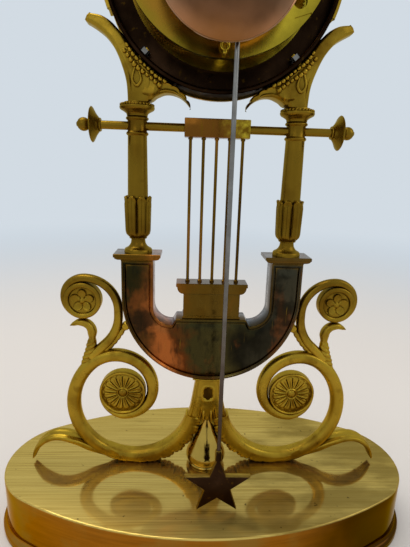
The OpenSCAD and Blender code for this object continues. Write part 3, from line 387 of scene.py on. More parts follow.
class LyreClockSizes(bpy.types.PropertyGroup):
    """Sizes and counts of the clock's ornaments"""

    turn_steps: count("Turning steps", "Faces round the pear drop", 72, 24)
    scroll_sides: count("Scroll sides", "Faces round a scroll's section", 28, 12)
    edge_line: length("Edge line", "Depth of the line beside a scroll's edges", 0.4)
    lobe_depth: length("Lobe depth", "How far the leaf's lobes stand out under the scrolls", 3.8)
    lobes: count("Leaf lobes", "Lobes of the leaf along a scroll's foot", 9, 3)
    petals: count("Petals", "Petals of a large rosette", 16, 6)
    flower_petals: count("Flower petals", "Petals of a small rosette's flower", 5, 4)
    sheath_leaves: count("Sheath leaves", "Leaves round a column's sheath", 8, 4)
    beads: count("Collar beads", "Beads round a collar", 30, 12)
    bead_size: length("Bead radius", "Radius of a collar's beads", 0.75)
    berries: count("Berries", "Berries in each row on a capital", 11, 4)
    berry_size: length("Berry radius", "Radius of a capital's berries", 1.35)
    rope_turns: count("Rope turns", "Turns of the rope lines on a bud's stalk", 7, 2)
    numeral_height: length("Numeral height", "Height of the dial's numerals", 9.0)


class LyreClockColours(bpy.types.PropertyGroup):
    """Colours of the clock's finishes"""

    gilt: colour("Gilt", "Matte gilding on the ornaments", 164, 132, 38)
    gilt_shade: colour("Gilt shade", "Darker gilding between the lit parts", 112, 80, 16)
    gilt_hollow: colour("Gilt hollows", "Dark wax in the hollows of the ornaments", 44, 26, 6)
    base_top: colour("Base top", "Brushed top of the base", 212, 182, 98)
    base_worn: colour("Base worn", "Duller brush lines of the base", 170, 138, 62)
    base_side: colour("Base side", "Copper tone of the base's side", 158, 100, 26)
    # Paints the pits on the base's top, and painted shade at the -X end of its side
    base_pits_and_shade: colour("Base dark", "Dark end of the base's side", 46, 26, 10)
    # Also paints the highlight along the star's rims
    polish_and_star_highlight: colour("Polish", "Polished gilding, and the worn edges of the star", 192, 158, 72)
    tarnish_orange: colour("Tarnish orange", "Orange tarnish of the lyre", 166, 94, 44)
    tarnish_green: colour("Tarnish green", "Green tarnish of the lyre", 73, 66, 35)
    tarnish_grey: colour("Tarnish grey", "Grey tarnish of the lyre", 62, 58, 44)
    dark_bronze: colour("Dark bronze", "Dark metal of the drum and the star", 50, 33, 20)
    plate: colour("Plate", "Brass of the movement", 214, 186, 54)
    plate_edge: colour("Plate edge", "Warm brass near a plate's edge", 150, 96, 34)
    steel: colour("Steel", "Bare steel", 138, 134, 128)
    blued: colour("Blued steel", "Blued steel of the hands", 30, 38, 92)
    bell: colour("Bell", "Polished metal of the bell", 132, 94, 66)
    enamel: colour("Enamel", "White of the dial", 236, 233, 222)
    floor: colour("Floor", "Floor under the clock", 226, 214, 202)
    backdrop: colour("Backdrop", "Background far from the clock", 210, 219, 227)
    room: colour("Room", "Dimmer light from the camera's side", 63, 60, 57)


# Finishes

# Sockets of a Mix node that blends colours
MIX_FACTOR, MIX_FIRST, MIX_SECOND, MIX_RESULT = 0, 6, 7, 2
HOLLOW_WIDTH = 3 * MM


class Bench:
    """The nodes of a material or a world, with short calls that add and link them"""

    def __init__(self, owner, shader):
        owner.use_nodes = True
        self.tree = owner.node_tree
        self.shader = self.tree.nodes[shader]
        self.spots = self.add("ShaderNodeTexCoord").outputs

    def add(self, kind, settings=None, **sockets):
        """Adds a node, sets its own values, and sets or links its inputs"""
        node = self.tree.nodes.new(kind)
        for name, value in (settings or {}).items():
            setattr(node, name, value)
        for name, value in sockets.items():
            self.feed(node.inputs[name.replace("_", " ")], value)
        return node

    def feed(self, socket, value):
        """Links an output to the socket, or sets the socket's own value"""
        if isinstance(value, bpy.types.NodeSocket):
            self.tree.links.new(value, socket)
        else:
            socket.default_value = value

    def shade(self, **sockets):
        """Sets or links the shader's inputs"""
        for name, value in sockets.items():
            self.feed(self.shader.inputs[name.replace("_", " ")], value)

    def noise(self, scale, detail=3.0, stretch=(1, 1, 1)):
        """Cloudy values, drawn out along an axis by a small stretch"""
        spread = self.add("ShaderNodeMapping", Vector=self.spots["Object"], Scale=stretch)
        return self.add("ShaderNodeTexNoise", Vector=spread.outputs["Vector"], Scale=scale,
                        Detail=detail, Roughness=0.55).outputs["Fac"]

    def uneven(self, low, high, scale, detail, stretch=(1, 1, 1)):
        """Cloudy values between a low and a high one"""
        return self.step(self.noise(scale, detail, stretch), 0.3, 0.7, low, high)

    def ramp(self, factor, *stops):
        """Blends colours by a factor"""
        node = self.add("ShaderNodeValToRGB", Fac=factor)
        marks = node.color_ramp.elements
        while len(marks) < len(stops):
            marks.new(1.0)
        for mark, (spot, shade) in zip(marks, stops):
            mark.position = spot
            mark.color = (*shade, 1.0)
        return node.outputs["Color"]

    def step(self, factor, low, high, from_value=0.0, to_value=1.0):
        """Runs smoothly from one value to another as the factor goes from low to high"""
        node = self.add("ShaderNodeMapRange", {"interpolation_type": "SMOOTHSTEP"}, Value=factor,
                        From_Min=low, From_Max=high, To_Min=from_value, To_Max=to_value)
        return node.outputs["Result"]

    def math(self, operation, first, second=0.0):
        """One sum on two values"""
        node = self.add("ShaderNodeMath", {"operation": operation})
        self.feed(node.inputs[0], first)
        self.feed(node.inputs[1], second)
        return node.outputs["Value"]

    def plus(self, value, more, share):
        """A value with a share of another one added"""
        return self.math("ADD", value, self.math("MULTIPLY", more, share))

    def mix(self, factor, first, second):
        """Blends two colours"""
        node = self.add("ShaderNodeMix", {"data_type": "RGBA"})
        self.feed(node.inputs[MIX_FACTOR], factor)
        for socket, shade in ((MIX_FIRST, first), (MIX_SECOND, second)):
            linked = isinstance(shade, bpy.types.NodeSocket)
            self.feed(node.inputs[socket], shade if linked else (*shade, 1.0))
        return node.outputs[MIX_RESULT]

    def layer(self, under, over, factor, low, high, from_share=0.0, to_share=1.0):
        """Lays a colour over another, by a share that changes as the factor goes from low to high"""
        return self.mix(self.step(factor, low, high, from_share, to_share), under, over)

    def axis(self, name):
        """One coordinate of the place on the object, in metres"""
        return self.add("ShaderNodeSeparateXYZ", Vector=self.spots["Object"]).outputs[name]

    def from_centre(self, level):
        """Distance in X and Z from the middle of the clock at a level in millimetres"""
        rise = self.math("SUBTRACT", self.axis("Z"), level * MM)
        squares = self.math("ADD", self.math("POWER", self.axis("X"), 2.0), self.math("POWER", rise, 2.0))
        return self.math("SQRT", squares)

    def hollows(self):
        """1 in the open, and less in narrow hollows"""
        return self.add("ShaderNodeAmbientOcclusion", {"samples": 8}, Distance=HOLLOW_WIDTH).outputs["AO"]

    def edges(self, share):
        """A share on sharp edges, and 0 elsewhere"""
        bend = self.add("ShaderNodeNewGeometry").outputs["Pointiness"]
        return self.step(bend, 0.51, 0.58, 0.0, share)

    def blend(self, factor, other):
        """Blends the shader with another one"""
        node = self.add("ShaderNodeMixShader", Fac=factor)
        self.feed(node.inputs[1], self.shader.outputs[0])
        self.feed(node.inputs[2], other.outputs[0])
        self.feed(self.tree.nodes["Material Output"].inputs["Surface"], node.outputs["Shader"])

    def bump(self, height, strength, distance=0.2):
        """Fine relief from a height, over a distance in millimetres"""
        node = self.add("ShaderNodeBump", Height=height, Strength=strength, Distance=distance * MM)
        self.shade(Normal=node.outputs["Normal"])


def tint(colour_value, share):
    """A colour made lighter or darker by a share"""
    return tuple(min(part * share, 1.0) for part in colour_value)


def new_material(finish, tones):
    """A material that is named after a finish and has its nodes"""
    material = bpy.data.materials.new(finish.__name__)
    finish(Bench(material, "Principled BSDF"), tones)
    return material


def gilt_bronze(bench, tones):
    """Matte gilding: cloudy gold, duller half way up, with dark hollows, bright edges and a fine grain"""
    body = bench.ramp(bench.noise(38.0, 4.0), (0.32, tones.gilt_shade), (0.5, tones.gilt),
                      (0.72, tint(tones.gilt, 1.2)))
    body = bench.layer(body, tones.gilt_shade, bench.noise(170.0, 4.0), 0.58, 0.72, 0.0, 0.45)
    body = bench.mix(bench.edges(0.5), body, tint(tones.gilt, 1.5))
    # Painted shade: darker from 0.12 m up, and less dark again above 0.28 m on the capitals
    height = bench.axis("Z")
    painted_height_shade = bench.math("MULTIPLY", bench.step(height, 0.12, 0.17, 0.0, 0.75),
                      bench.step(height, 0.25, 0.28, 1.0, 0.35))
    body = bench.mix(painted_height_shade, body, tint(tones.gilt_shade, 0.72))
    body = bench.layer(body, tones.gilt_hollow, bench.hollows(), 0.15, 0.75, 0.6, 0.0)
    bench.shade(Base_Color=body, Metallic=0.95, Roughness=bench.uneven(0.25, 0.4, 120.0, 3.0),
                Specular_Tint=(0.95, 0.82, 0.5, 1.0))
    bench.bump(bench.noise(2200.0, 2.0), 0.12)


def base_brass(bench, tones):
    """Satin brass: brush lines, stains and pits on top, duller at the back, copper clouds round the side"""
    lines = bench.noise(1.0, 5.0, (14, 1300, 1300))
    top = bench.ramp(lines, (0.25, tones.base_worn), (0.6, tones.base_top))
    stains = bench.plus(bench.noise(1.0, 4.0, (18, 60, 60)), bench.axis("X"), -1.6)
    top = bench.layer(top, tint(tones.base_worn, 0.5), stains, 0.46, 0.76, 0.0, 0.7)
    top = bench.layer(top, tones.base_pits_and_shade, bench.noise(240.0, 2.0), 0.7, 0.76, 0.0, 0.7)
    scratches = bench.noise(1.0, 4.0, (40, 40, 700))
    side = bench.ramp(scratches, (0.3, tint(tones.base_side, 0.85)), (0.7, tint(tones.base_side, 1.1)))
    side = bench.layer(side, tint(tones.base_worn, 0.75), bench.noise(30.0, 5.0), 0.44, 0.64, 0.0, 0.6)
    # Painted shade: the side darkens towards its -X end
    across = bench.plus(bench.axis("X"), bench.noise(22.0), 0.06)
    side = bench.layer(side, tones.base_pits_and_shade, across, -0.06, 0.0, 0.9, 0.0)
    on_top = bench.step(bench.axis("Z"), (DECK - 1.1) * MM, (DECK - 0.5) * MM)
    body = bench.mix(on_top, side, top)
    bench.shade(Base_Color=body, Metallic=1.0, Roughness=bench.uneven(0.06, 0.12, 1.0, 4.0, (24, 160, 160)),
                Specular_Tint=(0.9, 0.7, 0.4, 1.0))
    bench.bump(lines, 0.03)
    dull = bench.add("ShaderNodeBsdfPrincipled", Base_Color=body, Metallic=1.0, Roughness=0.5)
    wear = bench.step(bench.axis("Y"), 0.02, 0.06, 0.22, 0.65)
    bench.blend(bench.math("MULTIPLY", on_top, wear), dull)


def bright_gilt(bench, tones):
    """Polished gilding with faint clouds and dark hollows"""
    body = bench.ramp(bench.noise(60.0, 3.0), (0.3, tint(tones.polish_and_star_highlight, 0.72)), (0.7, tones.polish_and_star_highlight))
    body = bench.layer(body, tones.gilt_hollow, bench.hollows(), 0.3, 0.8, 0.8, 0.0)
    bench.shade(Base_Color=body, Metallic=1.0, Roughness=bench.uneven(0.07, 0.2, 420.0, 3.0))
    bench.bump(bench.noise(1600.0, 2.0), 0.04, 0.1)


def tarnished_brass(bench, tones):
    """Tarnished sheet: an orange arm, an olive bowl, a grey-black arm, and a rubbed string block"""
    black = tint(tones.tarnish_grey, 0.25)
    share = bench.step(bench.plus(bench.axis("X"), bench.noise(34.0, 5.0), 0.05), -0.03, 0.075)
    body = bench.ramp(share, (0.0, tones.tarnish_grey), (0.22, black), (0.42, tones.tarnish_green),
                      (0.64, tint(tones.tarnish_green, 0.7)), (0.74, tint(tones.tarnish_orange, 0.3)),
                      (0.82, tones.tarnish_orange), (0.93, tones.tarnish_orange),
                      (1.0, tint(tones.tarnish_green, 0.35)))
    smears = bench.noise(1.0, 5.0, (70, 70, 34))
    body = bench.layer(body, tint(tones.tarnish_orange, 0.6), smears, 0.52, 0.66, 0.0, 0.45)
    streaks = bench.noise(1.0, 5.0, (420, 60, 90))
    body = bench.layer(body, black, streaks, 0.5, 0.72, 0.0, 0.5)
    body = bench.layer(body, black, bench.noise(62.0, 5.0), 0.54, 0.68, 0.0, 0.8)
    body = bench.layer(body, tones.gilt, bench.noise(1.0, 4.0, (900, 160, 45)), 0.66, 0.74, 0.0, 0.4)
    body = bench.mix(bench.edges(0.6), body, tones.gilt_shade)
    golden = bench.ramp(bench.noise(260.0, 4.0), (0.36, tones.gilt_shade), (0.62, tint(tones.plate, 0.85)))
    across = bench.plus(bench.axis("X"), bench.noise(120.0, 4.0), 0.03)
    rubbed = bench.layer(golden, tint(tones.plate_edge, 0.55), across, -0.004, 0.016)
    rubbed = bench.layer(rubbed, tones.gilt_shade, streaks, 0.5, 0.7, 0.0, 0.6)
    body = bench.layer(body, rubbed, bench.axis("Z"), (TAIL_LOW.z - 2) * MM, (TAIL_LOW.z - 1) * MM)
    bench.shade(Base_Color=body, Metallic=1.0, Roughness=bench.uneven(0.12, 0.3, 210.0, 4.0))
    bench.bump(streaks, 0.05)


def dark_bronze(bench, tones):
    """Dark patina with red-brown clouds, darkest on the drum, worn to bright metal on the star's edges"""
    body = bench.ramp(bench.noise(45.0, 5.0), (0.3, tint(tones.dark_bronze, 0.3)),
                      (0.55, tones.dark_bronze), (0.75, tint(tones.dark_bronze, 2.2)))
    body = bench.layer(body, tones.gilt_shade, bench.noise(320.0, 4.0), 0.62, 0.72, 0.0, 0.4)
    height = bench.axis("Z")
    # Painted highlight: bright metal on the star's rims, where the faces turn away from Y, below 0.1 m
    facing = bench.add("ShaderNodeSeparateXYZ", Vector=bench.spots["Normal"]).outputs["Y"]
    worn = bench.math("MULTIPLY", bench.step(bench.math("ABSOLUTE", facing), 0.35, 0.8, 0.9, 0.0),
                      bench.step(height, 0.09, 0.1, 1.0, 0.0))
    body = bench.mix(worn, body, tones.polish_and_star_highlight)
    # Painted shade of the drum's deep inside: darker from 0.15 m up, over its dark patina
    body = bench.layer(body, tint(tones.dark_bronze, 0.15), height, 0.15, 0.2, 0.0, 0.5)
    bench.shade(Base_Color=body, Metallic=1.0, Roughness=bench.uneven(0.26, 0.42, 190.0, 3.0),
                Specular_Tint=(0.3, 0.26, 0.22, 1.0))
    bench.bump(bench.noise(900.0, 3.0), 0.06)


def plate_brass(bench, tones):
    """Satin brass of the movement, with brown bloom towards the plates' edges and one side"""
    bloom = bench.noise(55.0, 4.0)
    body = bench.ramp(bench.noise(90.0, 3.0), (0.3, tint(tones.plate, 0.85)), (0.7, tones.plate))
    across = bench.plus(bench.axis("X"), bloom, 0.03)
    body = bench.layer(body, tones.plate_edge, across, 0.0, 0.05, 0.0, 0.85)
    # Painted shade of the drum's deep inside: darker towards and past the plates' edges
    away = bench.plus(bench.from_centre(MOVEMENT_Z), bloom, 0.02)
    body = bench.layer(body, tint(tones.plate, 0.4), away, 0.05, 0.062, 0.0, 0.9)
    bench.shade(Base_Color=body, Metallic=1.0, Roughness=bench.uneven(0.16, 0.28, 70.0, 3.0))


def steel(bench, tones):
    """Bare steel with fine draw lines and grey clouds, browned towards the foot of the pendulum's rod"""
    body = bench.ramp(bench.noise(120.0, 4.0), (0.3, tint(tones.steel, 0.6)), (0.7, tones.steel))
    body = bench.layer(body, tint(tones.dark_bronze, 1.6), bench.axis("Z"), 0.09, 0.2, 0.85, 0.0)
    rough = bench.uneven(0.2, 0.36, 1.0, 3.0, (1500, 1500, 60))
    bench.shade(Base_Color=body, Metallic=1.0, Roughness=rough)


def blued_steel(bench, tones):
    """Heat-blued steel that turns purple in places"""
    red, green, blue = tones.blued
    purple = (red * 2.5, green * 0.6, blue * 0.8)
    body = bench.ramp(bench.noise(90.0, 3.0), (0.35, tones.blued), (0.7, purple))
    bench.shade(Base_Color=body, Metallic=1.0, Roughness=bench.uneven(0.14, 0.24, 500.0, 2.0))


def bell_bronze(bench, tones):
    """Polished bell metal: grey-brown clouds, pale towards the edge and warm below"""
    clouds = bench.noise(26.0, 4.0)
    body = bench.ramp(clouds, (0.32, tint(tones.bell, 0.4)), (0.5, tint(tones.bell, 0.7)),
                      (0.68, tones.bell))
    # Painted highlight: paler towards the bell's edge
    away = bench.plus(bench.from_centre((BELL_LOW.z + BELL_HIGH.z) / 2), clouds, 0.008)
    body = bench.layer(body, tint(tones.bell, 2.2), away, 0.028, 0.036, 0.0, 0.7)
    # Painted reflection of the brass below: warmer towards the bell's lower part
    height = bench.plus(bench.axis("Z"), bench.noise(40.0, 4.0), 0.012)
    body = bench.layer(body, tint(tones.plate_edge, 0.72), height, (BELL_LOW.z + 4) * MM,
                       (BELL_LOW.z + 18) * MM, 0.8, 0.0)
    bench.shade(Base_Color=body, Metallic=1.0, Roughness=bench.uneven(0.06, 0.14, 60.0, 3.0))


def enamel(bench, tones):
    """White vitreous enamel with a faint cloud, under a clear coat"""
    body = bench.ramp(bench.noise(55.0, 4.0), (0.3, tint(tones.enamel, 0.9)), (0.7, tones.enamel))
    bench.shade(Base_Color=body, Metallic=0.0, Roughness=0.22, Coat_Weight=0.6, Coat_Roughness=0.05)
    bench.bump(bench.noise(140.0, 2.0), 0.03)


def dial_black(bench, tones):
    """Fired black paint of the numerals"""
    body = bench.ramp(bench.noise(600.0, 3.0), (0.3, tint(tones.blued, 0.1)),
                      (0.7, tint(tones.dark_bronze, 0.5)))
    bench.shade(Base_Color=body, Metallic=0.0, Roughness=0.3)


def string_brass(bench, tones):
    """Old drawn brass of the strings and the stem's niche, browned along their length"""
    body = bench.ramp(bench.noise(1.0, 2.0, (90, 90, 14)), (0.3, tones.gilt_hollow),
                      (0.55, tones.gilt_shade), (0.75, tones.plate_edge))
    bench.shade(Base_Color=body, Metallic=1.0, Roughness=bench.uneven(0.22, 0.32, 30.0, 2.0))


def clear_glass(bench, tones):
    """Clear glass with a little unevenness"""
    body = bench.ramp(bench.noise(25.0, 2.0), (0.3, (0.97, 0.99, 0.98)), (0.7, (1.0, 1.0, 1.0)))
    bench.shade(Base_Color=body, Metallic=0.0, Roughness=0.02, IOR=1.46, Transmission_Weight=1.0)


FINISHES = (gilt_bronze, base_brass, bright_gilt, tarnished_brass, dark_bronze, plate_brass, steel,
            blued_steel, bell_bronze, enamel, dial_black, string_brass, clear_glass)


# Base

BASE_STEPS = 200
BASE_END_R = 40.0
BASE_WALL = 3.0
DECK_T = 3.5


def oval_point(share, grow):
    """A point of the base's oval, which is two end arcs and two long arcs, grown outwards"""
    half_w, half_d = BASE_HIGH.x, BASE_HIGH.y
    reach = ((half_w - BASE_END_R) ** 2 - (half_d - BASE_END_R) ** 2) / (2 * (half_d - BASE_END_R))
    swing = math.degrees(math.atan2(reach, half_w - BASE_END_R))
    long_r = half_d + reach
    runs = (
        ((half_w - BASE_END_R, 0), BASE_END_R, -swing, swing, 0.0, 0.18),
        ((0, -reach), long_r, swing, 180 - swing, 0.18, 0.5),
        ((BASE_END_R - half_w, 0), BASE_END_R, 180 - swing, 180 + swing, 0.5, 0.68),
        ((0, reach), long_r, 180 + swing, 360 - swing, 0.68, 1.0),
    )
    for centre, radius, start, end, low, high in runs:
        if share <= high:
            turn = start + (end - start) * (share - low) / (high - low)
            return Vector(centre) + (radius + grow) * heading(turn)


def oval_wall(bm, profile):
    """A wall round the oval, from a profile of how far out and how high"""
    last = len(profile) - 1

    def place(u, v):
        grow, height = profile[round(v * last)]
        spot = oval_point(u, grow)
        return Vector((spot.x, spot.y, height))

    wrap(bm, BASE_STEPS, last, place)


def build_base(sizes):
    """The hollow base with a softened top edge, and its hollow-curved foot moulding"""
    bm = bmesh.new()
    under = DECK - DECK_T
    foot_top = BASE_LOW.z
    rim = [(-1.1, DECK), (-0.5, DECK - 0.12), (-0.12, DECK - 0.5), (0.0, DECK - 1.1)]
    wall = [(0.0, DECK - 8), (0.0, foot_top + 4), (0.0, foot_top)]
    inside = [(-BASE_WALL, foot_top), (-BASE_WALL, under - 1), (-BASE_WALL - 1, under)]
    oval_wall(bm, rim + wall + inside)
    close_up(bm)
    finish_piece(bm, "base_body", "base_shell")

    bm = bmesh.new()
    out = FOOT_HIGH.x - BASE_HIGH.x
    fillet = 0.46 * foot_top
    hollow = arc((out, foot_top), out - 0.35, 180, 262, 8)
    profile = [(0.0, foot_top), (0.35, foot_top - 0.01)]
    profile += [(p.x, foot_top - (foot_top - p.y) * 1.05) for p in hollow]
    profile += [(out - 0.2, fillet + 0.2), (out, fillet), (out, 0.5), (out - 0.4, 0.0)]
    profile += [(-BASE_WALL, 0.0), (-BASE_WALL, foot_top), (0.0, foot_top)]
    oval_wall(bm, profile)
    close_up(bm)
    finish_piece(bm, "base_foot", "base_moulding")


# Scrolls

FOOT_PEG_R = 2.0
FOOT_PEG_DEEP = 7.0
RING_R = 38.3
RING_T = 8.6
CURL_R = 22.9
EYE_R = 19.0
CURL_TURN = 45
TOP_T = 5.4
TOP_R = 20.0
TOP_EYE_R = 12.2
BRANCH_TURN = 136
RING_C = Vector(((RING_LOW.x + RING_HIGH.x) / 2, DECK + RING_R + RING_T / 2 - 0.4))
CURL_C = RING_C + (RING_R - CURL_R) * heading(CURL_TURN)
EYE_C = CURL_C - Vector((CURL_R - EYE_R, 0))


def ring_share(across, up):
    """A place given as shares of the large scroll's radius from its centre"""
    return RING_C + RING_R * Vector((across, up))


BRANCH_R = 0.68 * RING_R
BRANCH_AT = ring_share(0.684, 0.849)
BRANCH_C = BRANCH_AT + 0.34 * RING_R * heading(BRANCH_TURN) - BRANCH_R * heading(BRANCH_TURN + 90)
TOP_C = BRANCH_C + Vector((TOP_R - BRANCH_R, 0.078 * RING_R))
TOP_EYE_C = TOP_C + Vector((0, TOP_R - TOP_EYE_R))
ROSETTE_C = Vector((EYE_C.x, DECK + 50.9))
ROSETTE_R = 14.6
LEAF_END = 0.29


def edge_line(depth, angle):
    """The line that runs beside both edges of a scroll's faces"""
    return -depth * hump(abs(math.cos(angle)), 0.86, 0.07)


def build_rings(sizes):
    """The two large scrolls, with edge lines, a lobed leaf along each foot and a tail round the rosette"""
    turned = chain(arc(RING_C, RING_R, 191, 302, 160), arc(RING_C, RING_R, 302, 360 + CURL_TURN, 50),
                   arc(CURL_C, CURL_R, CURL_TURN, 180, 60), arc(EYE_C, EYE_R, 180, 270, 34))
    reach = ROSETTE_C.y - turned[-1].y
    steps = 36
    tail = [ROSETTE_C + (reach - 1.9 * step / steps) * heading(270 + 82 * step / steps)
            for step in range(steps + 1)]
    path = chain(turned, tail)
    half = RING_T / 2
    thick = [(0, half), (0.46, half), (0.74, half - 0.3), (0.85, half - 0.9), (0.91, half - 1.9), (1, 0.35)]
    deep = [(0, half), (0.56, half), (0.91, half - 0.8), (1, 1.0)]
    lobe_depth = sizes.lobe_depth / MM
    line_depth = sizes.edge_line / MM

    def relief(share, angle):
        side = math.cos(angle)
        if share > LEAF_END:
            return 0.0, edge_line(line_depth, angle)
        along = share / LEAF_END
        spot = sizes.lobes * along ** 0.85
        lobe = 0.62 * abs(math.sin(math.pi * spot)) ** 0.5
        lobe += 0.38 * abs(math.sin(3 * math.pi * spot)) ** 0.6
        outward = max(-side - 0.1, 0.0) / 0.9
        cover = 1 / (1 + math.exp((2 * along ** 3 - 1.2 - side) / 0.06))
        rise = cover * (0.7 - 0.3 * hump(side, 0.45, 0.07))
        return -lobe_depth * min(1.5 * (1 - along), 1.0) * lobe * outward, rise

    def make(bm):
        sweep(bm, path, thick, deep, sizes.scroll_sides, relief)
        peg(bm, FOOT_PEG_R, DECK - FOOT_PEG_DEEP, DECK + 3, upright(RING_C.x, 0))
        for vert in bm.verts:
            beside_peg = abs(vert.co.x - RING_C.x) > FOOT_PEG_R + 0.1
            if DECK - 4 < vert.co.z < DECK and beside_peg:
                vert.co.z = DECK

    both_sides("scroll", "scroll_ring", make)


def build_tops(sizes):
    """The two upper scrolls that branch from the large ones"""
    path = chain([BRANCH_AT], arc(BRANCH_C, BRANCH_R, BRANCH_TURN + 90, 180, 24),
                 arc(TOP_C, TOP_R, 180, 90, 36), arc(TOP_EYE_C, TOP_EYE_R, 90, -62, 48))
    half = TOP_T / 2
    thick = [(0, half + 0.6), (0.3, half), (0.8, half - 0.3), (1, half - 1.4)]
    deep = [(0, half + 0.8), (1, half)]
    line_depth = 0.7 * sizes.edge_line / MM

    def make(bm):
        sweep(bm, path, thick, deep, sizes.scroll_sides,
              lambda share, angle: (0.0, edge_line(line_depth, angle)))

    both_sides("upper_scroll", "scroll_top", make)


def build_buds(sizes):
    """The buds under the small rosettes, with rope lines on the stalk and a hooked tip"""
    hook_r = 0.17 * RING_R
    hook_c = ring_share(0.825, 1.277)
    stalk_r = 1.25 * RING_R
    stalk_c = hook_c + Vector((stalk_r - hook_r, 0))
    tip = hook_c + hook_r * Vector((1.05, 0.62))
    run = chain(arc(stalk_c, stalk_r, 212, 180, 30), arc(hook_c, hook_r, 180, 65, 24), [tip])
    path = even_points(run, 110)
    thick = [(0, 1.8), (0.2, 3.2), (0.44, 2.9), (0.52, 2.1), (0.6, 2.9), (0.82, 2.5), (0.95, 1.2), (1, 0.2)]
    deep = [(0, 2), (0.3, 3.4), (0.52, 2.6), (0.65, 3.6), (0.85, 3.2), (1, 0.5)]
    stalk = 0.5

    def relief(share, angle):
        if share < stalk:
            twist = abs(math.sin(math.pi * sizes.rope_turns * share / stalk + 2 * angle)) ** 0.6 - 0.6
            depth = 0.8 * min(share * 12, 1.0) * min((stalk - share) * 14, 1.0)
            return depth * twist * math.cos(angle), depth * twist * abs(math.sin(angle))
        return 0.0, -0.5 * hump(math.cos(angle), 0.0, 0.22)

    bm = bmesh.new()
    sweep(bm, path, thick, deep, 32, relief, power=0.95)
    add_mirror(bm)
    finish_piece(bm, "buds", "bud_leaves")


def build_foot_leaves(sizes):
    """The ribbon leaves that run from the scrolls down to the base"""
    shares = ((0.496, -0.966), (0.736, -0.836), (0.984, -0.684), (1.219, -0.611), (1.428, -0.637),
              (1.611, -0.781), (1.731, -1.037))
    path = even_points(curve_through([ring_share(*pair) for pair in shares], 16), 96)
    thick = [(0, 1.2), (0.2, 2.6), (0.7, 2.0), (0.95, 1.4), (1, 0.7)]
    deep = [(0, 2.5), (0.4, 5.6), (0.8, 5.2), (1, 2.4)]

    def relief(share, angle):
        if math.cos(angle) < 0:
            return 0.35 * hump(math.sin(angle), 0.0, 0.3), 0.0
        middle = hump(math.sin(angle), 0.0, 0.18)
        veins = sum(hump(math.sin(angle), spot, 0.12) for spot in (-0.62, 0.62))
        return -0.8 * middle - 0.35 * veins, 0.0

    bm = bmesh.new()
    sweep(bm, path, thick, deep, 40, relief, power=0.7)
    add_mirror(bm)
    finish_piece(bm, "ribbon_leaves", "foot_leaves")


def build_braces(sizes):
    """The notched braces between the scrolls and the lyre, with a small knob at the lyre"""
    bowl = Vector((0, BOWL_Z))
    end = bowl + (BODY_HALF + 2.7) * heading(-21.5)
    path = even_points(curve_through([ring_share(0.715, 0.822), ring_share(0.366, 1.07), end], 20), 80)
    thick = [(0, 1.6), (0.4, 2.4), (0.85, 1.8), (1, 1.6)]

    def relief(share, angle):
        notch = abs(math.sin(9 * math.pi * share)) ** 0.5 - 0.8
        return 0.7 * notch * math.cos(angle), 0.3 * notch * abs(math.sin(angle))

    bm = bmesh.new()
    sweep(bm, path, thick, thick, 20, relief)
    knob = [(0, -2.6), (1.9, -2.4), (2.5, -1.7), (2.5, 1.7), (1.9, 2.4), (0, 2.6)]
    lathe(bm, knob, to_back(end.x, end.y), 24)
    knob = [(0, -2.2), (1.3, -2.0), (2.2, -1.3), (2.6, 0), (2.2, 1.3), (1.3, 2.0), (0, 2.2)]
    lathe(bm, knob, upright(end.x, end.y), 24)
    add_mirror(bm)
    finish_piece(bm, "notched_braces", "braces")


# Rosettes

ROSETTE_T = 7.4
SMALL_ROSETTE_R = 11.2
FACE_SHARE = 0.93


def build_rosettes(name, node, radius, around, rings, height):
    """Two round plaques, each with the same relief on both faces: height(reach, turn)"""
    low, high = corners(node)
    centre = Vector((high.x - radius, (low.z + high.z) / 2))
    bm = bmesh.new()
    for face in (1, -1):
        def place(u, v):
            reach = min(v / FACE_SHARE, 1.0)
            rise = height(reach, u)
            if v > FACE_SHARE:
                rise *= (1 - v) / (1 - FACE_SHARE)
            spot = centre + radius * reach * heading(360 * u)
            return Vector((spot.x, face * rise, spot.y))
        wrap(bm, around, rings, place)
        bmesh.ops.remove_doubles(bm, verts=bm.verts, dist=WELD)
    add_mirror(bm)
    finish_piece(bm, name, node, sharp=60)


def build_big_rosettes(sizes):
    """The large rosettes: a raised rim, a ring of petals and a ringed boss"""
    half = ROSETTE_T / 2
    petals = sizes.petals
    boss, boss_ring, rim = 0.17, 0.27, 0.88

    def height(reach, turn):
        if reach > rim:
            return half - 0.9 + 0.9 * math.sin(math.pi * (reach - rim) / (1 - rim)) ** 0.7
        if reach < boss:
            return half - 0.35 - 0.9 * (reach / boss) ** 3
        if reach < boss_ring:
            return half - 1.5 + 0.8 * hump(reach, (boss + boss_ring) / 2, 0.03)
        middle = from_middle(turn * petals)
        tip = 0.72 + 0.12 * max(math.cos(math.pi * middle), 0.0) ** 0.5
        long_share = max(1 - (reach / tip) ** 14, 0.0) ** 0.5
        wide = 1 - hump(abs(middle), 0.5, 0.09)
        dish = 0.5 * (2 * middle) ** 2
        vein = hump(middle, 0.0, 0.06) * hump(reach, 0.5, 0.22)
        return half - 2.1 + long_share * wide * (0.75 + dish) - 0.35 * vein

    build_rosettes("petal_rosettes", "big_rosettes", ROSETTE_R, 14 * petals, 48, height)


